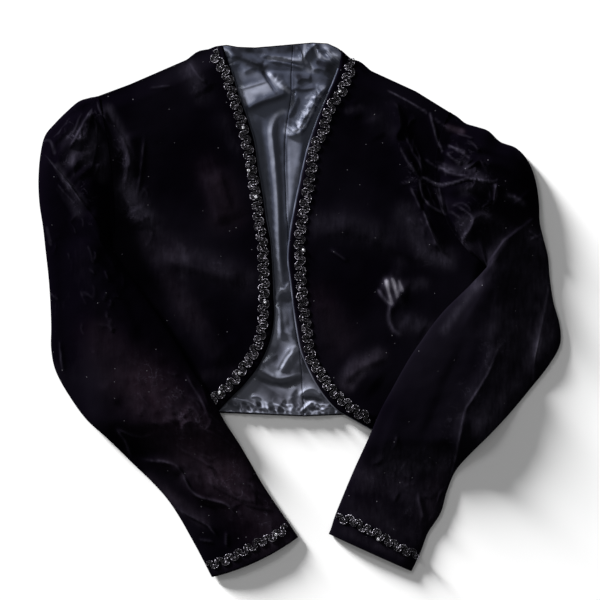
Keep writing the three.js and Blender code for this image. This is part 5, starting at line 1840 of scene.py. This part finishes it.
def braid_piece(name, line, height, swing):
    """All cords of one length of braid, as one piece."""
    smooth, run, turn, along, sway = meander(line, swing)
    d_along, d_sway = np.gradient(along), np.gradient(sway)
    size = np.hypot(d_along, d_sway)
    normal_x = -np.gradient(smooth[:, 1], run)
    normal_y = np.gradient(smooth[:, 0], run)
    points, faces, uvs, plies = [], [], [], []
    count = 0
    for offset, shine in CORDS:
        loose = offset + CORD_LOOSE * ripple(turn, turn * 0 + 9 * offset, 1.7, 5.0 + offset)
        a = np.clip(along - d_sway / size * loose, 0, run[-1])
        b = sway + d_along / size * loose
        x = np.interp(a, run, smooth[:, 0]) + np.interp(a, run, normal_x) * b
        y = np.interp(a, run, smooth[:, 1]) + np.interp(a, run, normal_y) * b
        bed = np.array([height(p, q) for p, q in zip(x, y)])
        bed = np.where(np.isnan(bed), np.nanmedian(bed), bed)
        hump = SCROLL_HUMP * np.cos(turn) * np.abs(np.cos(turn))
        z = bed + CORD_RADIUS * 0.8 + CORD_CLEAR + hump
        tube, quads, uv, ply = cord_tube(np.stack([x, y, z], axis=-1))
        points.append(tube)
        faces += [[v + count for v in face] for face in quads]
        uvs.append(uv)
        plies.append(ply * shine)
        count += len(tube)
    paint = dict(ply=np.concatenate(plies))
    return make_piece(name, np.concatenate(points), faces, np.concatenate(uvs), paint)


BEDS = {f"front_{side}": fronts[side] for side in SIDES}
BEDS.update({f"cuff_{side}": sleeves[side] for side in SIDES})
braids = {}
for name, line in BRAID_LINES.items():
    swing = SWING[name.split("_")[0]]
    braids[name] = braid_piece(f"gimp_{name}", line, piece_height(BEDS[name]), swing)
    print(name, "braid faces:", len(braids[name].data.polygons))

# %% [markdown]
# ## Sequins
# A few cupped sequins are caught down in the scrolls. Flat discs would be all bright or all dark.
# Each is a small cup with a flat rim and a hole, leaning its own way, so that one side of it always
# finds the light. The rings below are its section, from the hole over the face and back underneath.

# %% Sequins
SEQUINS = dict(
    front_right=[(-62, 200), (-56, 153), (-48, 124), (-38, 9), (-66, -69), (-88, -90)],
    front_left=[(44, 240), (4, 66)],
    cuff_right=[(-26, -246)],
    cuff_left=[(86, -251)],
)
SEQUIN_RINGS = [(0.35, 0.25), (0.9, 0.62), (1.55, 0.15), (2.05, -0.1), (1.9, -0.3), (0.9, 0.3), (0.35, 0.0)]
SEQUIN_SIDES = 14
SEQUIN_LEAN = np.array([0.30, -0.33])
SEQUIN_LIFT = 1.5


def sequins_piece(name, places, height):
    angle = np.arange(SEQUIN_SIDES) * 2 * math.pi / SEQUIN_SIDES
    rings = len(SEQUIN_RINGS)
    points, faces = [], []
    for n, (x, y) in enumerate(places):
        base = height(x, y) + SEQUIN_LIFT
        lean = SEQUIN_LEAN * (0.85 + 0.3 * math.sin(2.4 * n + 1))
        for radius, z in SEQUIN_RINGS:
            rim = np.stack([radius * np.cos(angle), radius * np.sin(angle)], axis=-1)
            points += [(x + p, y + q, base + z + lean[0] * p + lean[1] * q) for p, q in rim]
        index = np.arange(rings * SEQUIN_SIDES).reshape(rings, SEQUIN_SIDES) + n * rings * SEQUIN_SIDES
        inward = np.vstack([index, index[:1]])
        after = np.roll(inward, -1, axis=1)
        faces.append(np.stack([inward[:-1], inward[1:], after[1:], after[:-1]], axis=-1).reshape(-1, 4))
    points = np.array(points)
    return make_piece(name, points, np.concatenate(faces), points[:, :2])


sequins = {
    name: sequins_piece(f"sequins_{name}", places, piece_height(BEDS[name]))
    for name, places in SEQUINS.items()
}
print("sequins:", sum(map(len, SEQUINS.values())))

# %% [markdown]
# ## Building materials
# Every finish is a Principled shader with a few nodes before it. Nodes can be joined by hand in the
# shader editor, and a script can do the same. This small class adds a node, sets its values and joins
# it in one line, so that a finish reads from top to bottom.

# %% A finish, and short ways to add its nodes


class Finish:
    def __init__(self, name):
        self.material = bpy.data.materials.new(name)
        self.material.use_nodes = True
        self.tree = self.material.node_tree
        self.shader = self.tree.nodes["Principled BSDF"]

    def feed(self, socket, value):
        """Join a node's output to a socket, or set the socket to a plain value."""
        if isinstance(value, bpy.types.NodeSocket):
            self.tree.links.new(value, socket)
        else:
            socket.default_value = value

    def add(self, kind, **values):
        """Add a node. Each value goes to its setting or its socket of that name."""
        made = self.tree.nodes.new(f"ShaderNode{kind}")
        for name, value in values.items():
            if hasattr(made, name):
                setattr(made, name, value)
            else:
                self.feed(made.inputs[name.replace("_", " ")], value)
        return made

    def set(self, **values):
        """Values of the shader itself."""
        for name, value in values.items():
            self.feed(self.shader.inputs[name.replace("_", " ")], value)

    def place(self):
        return self.add("TexCoord").outputs["Object"]

    def noise(self, place, scale, detail, roughness=0.5, distortion=0.0):
        made = self.add("TexNoise", Vector=place, Scale=scale, Detail=detail)
        made.inputs["Roughness"].default_value = roughness
        made.inputs["Distortion"].default_value = distortion
        return made.outputs["Fac"]

    def painted(self, name):
        """A value that is painted on the mesh."""
        return self.add("Attribute", attribute_name=name).outputs["Fac"]

    def maths(self, operation, *values):
        made = self.add("Math", operation=operation)
        for socket, value in zip(made.inputs, values):
            self.feed(socket, value)
        return made.outputs[0]

    def times(self, a, b):
        return self.maths("MULTIPLY", a, b)

    def scaled(self, value, by, plus):
        return self.maths("MULTIPLY_ADD", value, by, plus)

    def between(self, value, least, most):
        return self.maths("MINIMUM", self.maths("MAXIMUM", value, least), most)

    def mix(self, share, a, b):
        made = self.add("Mix", data_type="RGBA")
        for number, value in ((0, share), (6, a), (7, b)):
            self.feed(made.inputs[number], value)
        return made.outputs[2]

    def bump(self, height, strength, distance):
        return self.add("Bump", Height=height, Strength=strength, Distance=distance)


print("what a finish can do:", [way for way in vars(Finish) if not way.startswith("_")])

# %% [markdown]
# ## Velvet
# Crushed velvet is a black cloth with a short pile. Hair particles could stand for the pile, but
# they would take millions of strands, and from above the pile shows only as shade. So the body is
# nearly black, streaks of noise break up the painted nap with its painted sheen and shade, thin
# veins craze it where it is old, a few dots are lint, and the shader's own little sheen catches
# low light.

# %% Velvet's colours
VELVET_DARK = (0.0010, 0.0007, 0.0017, 1)
# pale: brushed pile with its painted sheen; crushed sheen: the painted sheen of pile pressed flat
VELVET_PALE = (0.060, 0.054, 0.078, 1)
VELVET_CRUSHED_SHEEN = (0.150, 0.145, 0.170, 1)
VELVET_WARM = (0.021, 0.010, 0.0155, 1)
LINT = (0.090, 0.088, 0.098, 1)
VEIN_SHARP = -70.0
LINT_CELLS = 105.0
LINT_SIZE = 0.052
LINT_SHARE = 0.5
print("velvet, from dark to crushed:", VELVET_DARK[:3], VELVET_CRUSHED_SHEEN[:3])

# %% Velvet's nodes


def velvet_material():
    finish = Finish("velvet")
    place = finish.place()
    stretched = finish.add("Mapping", Vector=place, Scale=(1.0, 0.22, 1.0)).outputs[0]
    streaks = finish.noise(stretched, 260.0, 4.0, 0.6)
    mottle = finish.noise(place, 46.0, 5.0, 0.6)
    pile = finish.noise(place, 1500.0, 2.0)
    broad = finish.noise(place, 9.0, 3.0)
    paleness, warm, crazed = [finish.painted(name) for name in ("paleness", "warm", "crazed")]

    # brushed pile with its painted sheen, or painted shade, broken up into streaks
    break_up = finish.times(finish.scaled(streaks, 1.2, -0.10), finish.scaled(mottle, 1.8, -0.2))
    pale = finish.times(finish.times(paleness, break_up), 0.62)
    # veins where it is crazed: noise is near one half along thin lines
    veins = finish.noise(place, 70.0, 3.0, 0.62, 0.6)
    vein = finish.maths("ABSOLUTE", finish.maths("SUBTRACT", veins, 0.5))
    vein = finish.maths("MAXIMUM", finish.scaled(vein, VEIN_SHARP, 1.0), 0.0)
    here_and_there = finish.maths("MAXIMUM", finish.scaled(mottle, 4.0, -1.9), 0.0)
    vein = finish.times(finish.times(vein, here_and_there), crazed)
    pale = finish.scaled(vein, 0.8, pale)
    pale = finish.between(finish.maths("ADD", pale, finish.scaled(broad, 0.12, -0.05)), 0.0, 1.0)
    body = finish.mix(pale, VELVET_DARK, VELVET_PALE)
    # painted sheen of pile pressed quite flat, where the paleness is strongest
    flat = finish.times(finish.scaled(paleness, 0.45, -0.75), finish.scaled(streaks, 3.0, -0.7))
    body = finish.mix(finish.between(flat, 0.0, 1.0), body, VELVET_CRUSHED_SHEEN)
    # brown tint of the pale patches, their painted sheen included
    brown = finish.maths("MINIMUM", finish.times(warm, mottle), 0.8)
    body = finish.mix(brown, body, VELVET_WARM)
    # lint: a small dot in about half of the cells
    cells = finish.add("TexVoronoi", Vector=place, Scale=LINT_CELLS)
    some = finish.add("SeparateColor", Color=cells.outputs["Color"]).outputs["Red"]
    dot = finish.maths("LESS_THAN", cells.outputs["Distance"], LINT_SIZE)
    lint = finish.times(dot, finish.maths("GREATER_THAN", some, LINT_SHARE))

    grain = finish.bump(pile, 0.35, 0.0004)
    soft = finish.bump(mottle, 0.3, 0.0012)
    finish.feed(soft.inputs["Normal"], grain.outputs[0])
    finish.set(Base_Color=finish.mix(lint, body, LINT), Normal=soft.outputs[0])
    finish.set(Roughness=0.85, Specular_IOR_Level=0.0)
    finish.set(Sheen_Weight=0.003, Sheen_Roughness=0.38, Sheen_Tint=(0.80, 0.76, 0.92, 1))
    return finish.material


velvet = velvet_material()
print("velvet's nodes:", len(velvet.node_tree.nodes))

# %% [markdown]
# ## Satin
# Slate satin is a smooth weave of fine glossy thread, here paler and greyer towards the hem. A
# glossy shader alone mirrors an empty room and looks like metal. So its colour carries painted
# highlights and painted shade, its painted-shade sides are also rougher, and a fine weave and a
# slack crinkle disturb its shine.

# %% Satin's colours
SATIN_DEEP = (0.026, 0.030, 0.047, 1)
SATIN_PALE = (0.046, 0.051, 0.074, 1)
SATIN_PALER_BELOW = (0.082, 0.080, 0.094, 1)
# the painted highlight and the painted shade that the strokes lay over the cloth's own colour
SATIN_PAINTED_HIGHLIGHT = (0.185, 0.195, 0.245, 1)
SATIN_PAINTED_SHADE = (0.006, 0.0062, 0.010, 1)
print("satin, from dark to bright:", SATIN_PAINTED_SHADE[:3], SATIN_PAINTED_HIGHLIGHT[:3])

# %% Satin's nodes


def satin_material():
    finish = Finish("satin")
    place = finish.place()
    colour = finish.mix(finish.noise(place, 30.0, 4.0, 0.55), SATIN_DEEP, SATIN_PALE)
    # paler and greyer towards the hem
    along = finish.add("SeparateXYZ", Vector=place).outputs["Y"]
    paler_below = finish.between(finish.scaled(along, -2.8, 0.22), 0.0, 0.5)
    colour = finish.mix(paler_below, colour, SATIN_PALER_BELOW)
    # painted highlight above nought, painted shade below; the shaded parts are rougher too, which dims their shine
    lustre = finish.painted("lustre")
    colour = finish.mix(finish.between(lustre, 0.0, 1.0), colour, SATIN_PAINTED_HIGHLIGHT)
    dark = finish.times(finish.maths("MINIMUM", lustre, 0.0), -0.82)
    colour = finish.mix(finish.maths("MINIMUM", dark, 1.0), colour, SATIN_PAINTED_SHADE)

    weave = finish.add("TexWave", Vector=place, Scale=420.0, Distortion=0.6, Detail=1.0)
    thread = finish.bump(weave.outputs["Fac"], 0.10, 0.0002)
    slack = finish.bump(finish.noise(place, 85.0, 3.0), 0.22, 0.0012)
    finish.feed(slack.inputs["Normal"], thread.outputs[0])
    finish.set(Base_Color=colour, Normal=slack.outputs[0], Roughness=finish.scaled(dark, 0.35, 0.29))
    finish.set(Specular_IOR_Level=0.55, Specular_Tint=(0.80, 0.86, 1.0, 1))
    return finish.material


satin = satin_material()
print("satin's nodes:", len(satin.node_tree.nodes))

# %% [markdown]
# ## Gimp thread
# The cords are twisted from glossy dark thread. One grey would look like string. So glints are
# painted into the colour: the height of each ply, which is painted on the cord, decides where a
# painted glint lies, a fine noise breaks it into flecks, and a longer one lets whole scrolls be
# brighter or duller, as worn braid is.

# %% Gimp
GIMP_DARK = (0.0030, 0.0025, 0.0040, 1)
# the painted glint on the ridges of the plies
GIMP_GLINT = (0.70, 0.665, 0.77, 1)


def gimp_material():
    finish = Finish("gimp")
    place = finish.place()
    fleck = finish.scaled(finish.noise(place, 580.0, 1.0), 13.0, -6.3)
    high = finish.maths("MAXIMUM", finish.scaled(finish.painted("ply"), 1.1, 0.05), 0.0)
    worn_away = finish.between(finish.scaled(finish.noise(place, 150.0, 1.0), 4.0, -1.25), 0.1, 1.3)
    # painted glint where a ply's ridge and a fleck meet
    glint = finish.times(finish.times(finish.maths("MAXIMUM", fleck, 0.0), high), worn_away)
    finish.set(Base_Color=finish.mix(finish.maths("MINIMUM", glint, 1.0), GIMP_DARK, GIMP_GLINT))
    finish.set(Roughness=0.35, Specular_IOR_Level=0.6)
    return finish.material


gimp = gimp_material()
print("gimp's nodes:", len(gimp.node_tree.nodes))

# %% [markdown]
# ## Sequin foil, and paper for the table
# A sequin is silvery foil, so it is a metal, a little rough because it is worn. The table is a plain
# sheet of white paper. Neither needs a texture, because one is tiny and the other is only ground.

# %% Plain finishes


def plain_material(name, **values):
    finish = Finish(name)
    finish.set(**values)
    return finish.material


sequin = plain_material("sequin", Base_Color=(0.85, 0.85, 0.90, 1), Metallic=1.0, Roughness=0.30)
paper = plain_material("paper", Base_Color=(0.93, 0.93, 0.93, 1), Roughness=0.9, Specular_IOR_Level=0.1)
print("plain finishes:", sequin.name, paper.name)

# %% [markdown]
# ## Dressing the pieces
# A material is put on a whole piece at once, since each piece is cut from one cloth. Only a piece of
# several cloths would need faces with their own material.

# %% Dress the pieces
DRESSED = [
    (velvet, [back, *fronts.values(), *sleeves.values()]),
    (satin, [*back_linings.values(), *satin_edges.values()]),
    (gimp, braids.values()),
    (sequin, sequins.values()),
]
for material, pieces in DRESSED:
    for piece in pieces:
        piece.data.materials.append(material)
    print(material.name, "pieces:", len(pieces))

# %% [markdown]
# ## The table
# The jacket lies on a plain white surface, which isn't part of it. It could be a shadow catcher,
# but a real surface also sends soft light back under the cloth. It lies a hair lower than the
# cloth, so that the two never share a plane.

# %% Surface
TABLE_SIZE = 12
TABLE_BELOW = -0.0002
bpy.ops.mesh.primitive_plane_add(size=TABLE_SIZE, location=(0, 0, TABLE_BELOW))
table = bpy.context.object
table.name = "table"
table.data.materials.append(paper)
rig.stage(table)
print("table in metres:", TABLE_SIZE)

# %% [markdown]
# ## Tell the frame what is what
# Every piece rides on the one body, stands in for its solid and takes its slot. The jacket has no
# joints, so nothing here turns or slides. The sequins have no solid of their own. They ride on the
# same body and share the braid's slot.

# %% Ride, replace, slot
PIECES = [
    (back, "back", "velvet"),
    *[(back_linings[s], f"lining_back_{s}", "lining") for s in SIDES],
    *[(fronts[s], f"front_{s}", "velvet") for s in SIDES],
    *[(satin_edges[s], f"lining_front_{s}", "lining") for s in SIDES],
    *[(sleeves[s], f"sleeve_{s}", "velvet") for s in SIDES],
    *[(braids[f"{p}_{s}"], f"braid_{p}_{s}", "braid") for p in ("front", "cuff") for s in SIDES],
]
for piece, node, slot in PIECES:
    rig.ride(piece, "root")
    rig.replaces(piece, node)
    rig.slot(piece, slot)
for piece in sequins.values():
    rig.ride(piece, "root")
    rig.slot(piece, "braid")
print("pieces:", len(PIECES) + len(sequins))

# %% [markdown]
# ## Cut sizes of the cloth
# A dressmaker knows each piece by its flat size. The frame is told the same: the size of the piece
# laid flat, its area where it is no rectangle, what it lies on, and which trims are sewn to it. A
# guess from the bounding box would be wrong for a sleeve, which is a tube and is cut twice as wide.

# %% Cut sizes, in metres and square metres
CUTS = [
    (back, (0.435, 0.410), 0.150, ["table"]),
    (back_linings["right"], (0.216, 0.402), 0.0715, [back.name]),
    (back_linings["left"], (0.216, 0.402), 0.0645, [back.name]),
    (fronts["right"], (0.196, 0.403), 0.0630, [satin_edges["right"].name]),
    (fronts["left"], (0.226, 0.417), 0.0670, [satin_edges["left"].name]),
    (satin_edges["right"], (0.0101, 0.385), None, [back_linings["right"].name]),
    (satin_edges["left"], (0.0101, 0.405), None, [back_linings["left"].name]),
    (sleeves["right"], (0.330, 0.560), 0.130, [fronts["right"].name]),
    (sleeves["left"], (0.330, 0.560), 0.128, [fronts["left"].name]),
]
TRIMS = {fronts[s]: [braids[f"front_{s}"], sequins[f"front_{s}"]] for s in SIDES}
TRIMS.update({sleeves[s]: [braids[f"cuff_{s}"], sequins[f"cuff_{s}"]] for s in SIDES})
for piece, flat, area, rests in CUTS:
    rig.sheet(piece, flat=flat, area=area, held="laid", rests_on=rests, with_pieces=TRIMS.get(piece, ()))
print("cloths:", len(CUTS), "- velvet in all, square metres:", round(
    sum(area for piece, flat, area, rests in CUTS if "velvet" in piece.name), 3))

# %% [markdown]
# ## Sizes, and the end
# The box of the dressed jacket is written beside the box of its solids, so that the two can be
# compared.

# %% Write both boxes and finish
with open("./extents.json", "w") as out:
    json.dump([[list(map(float, corner)) for corner in box] for box in (cad_box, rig.bounds())], out)
print("dressed jacket in millimetres:", [round((hi - lo) / MM) for lo, hi in zip(*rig.bounds())])
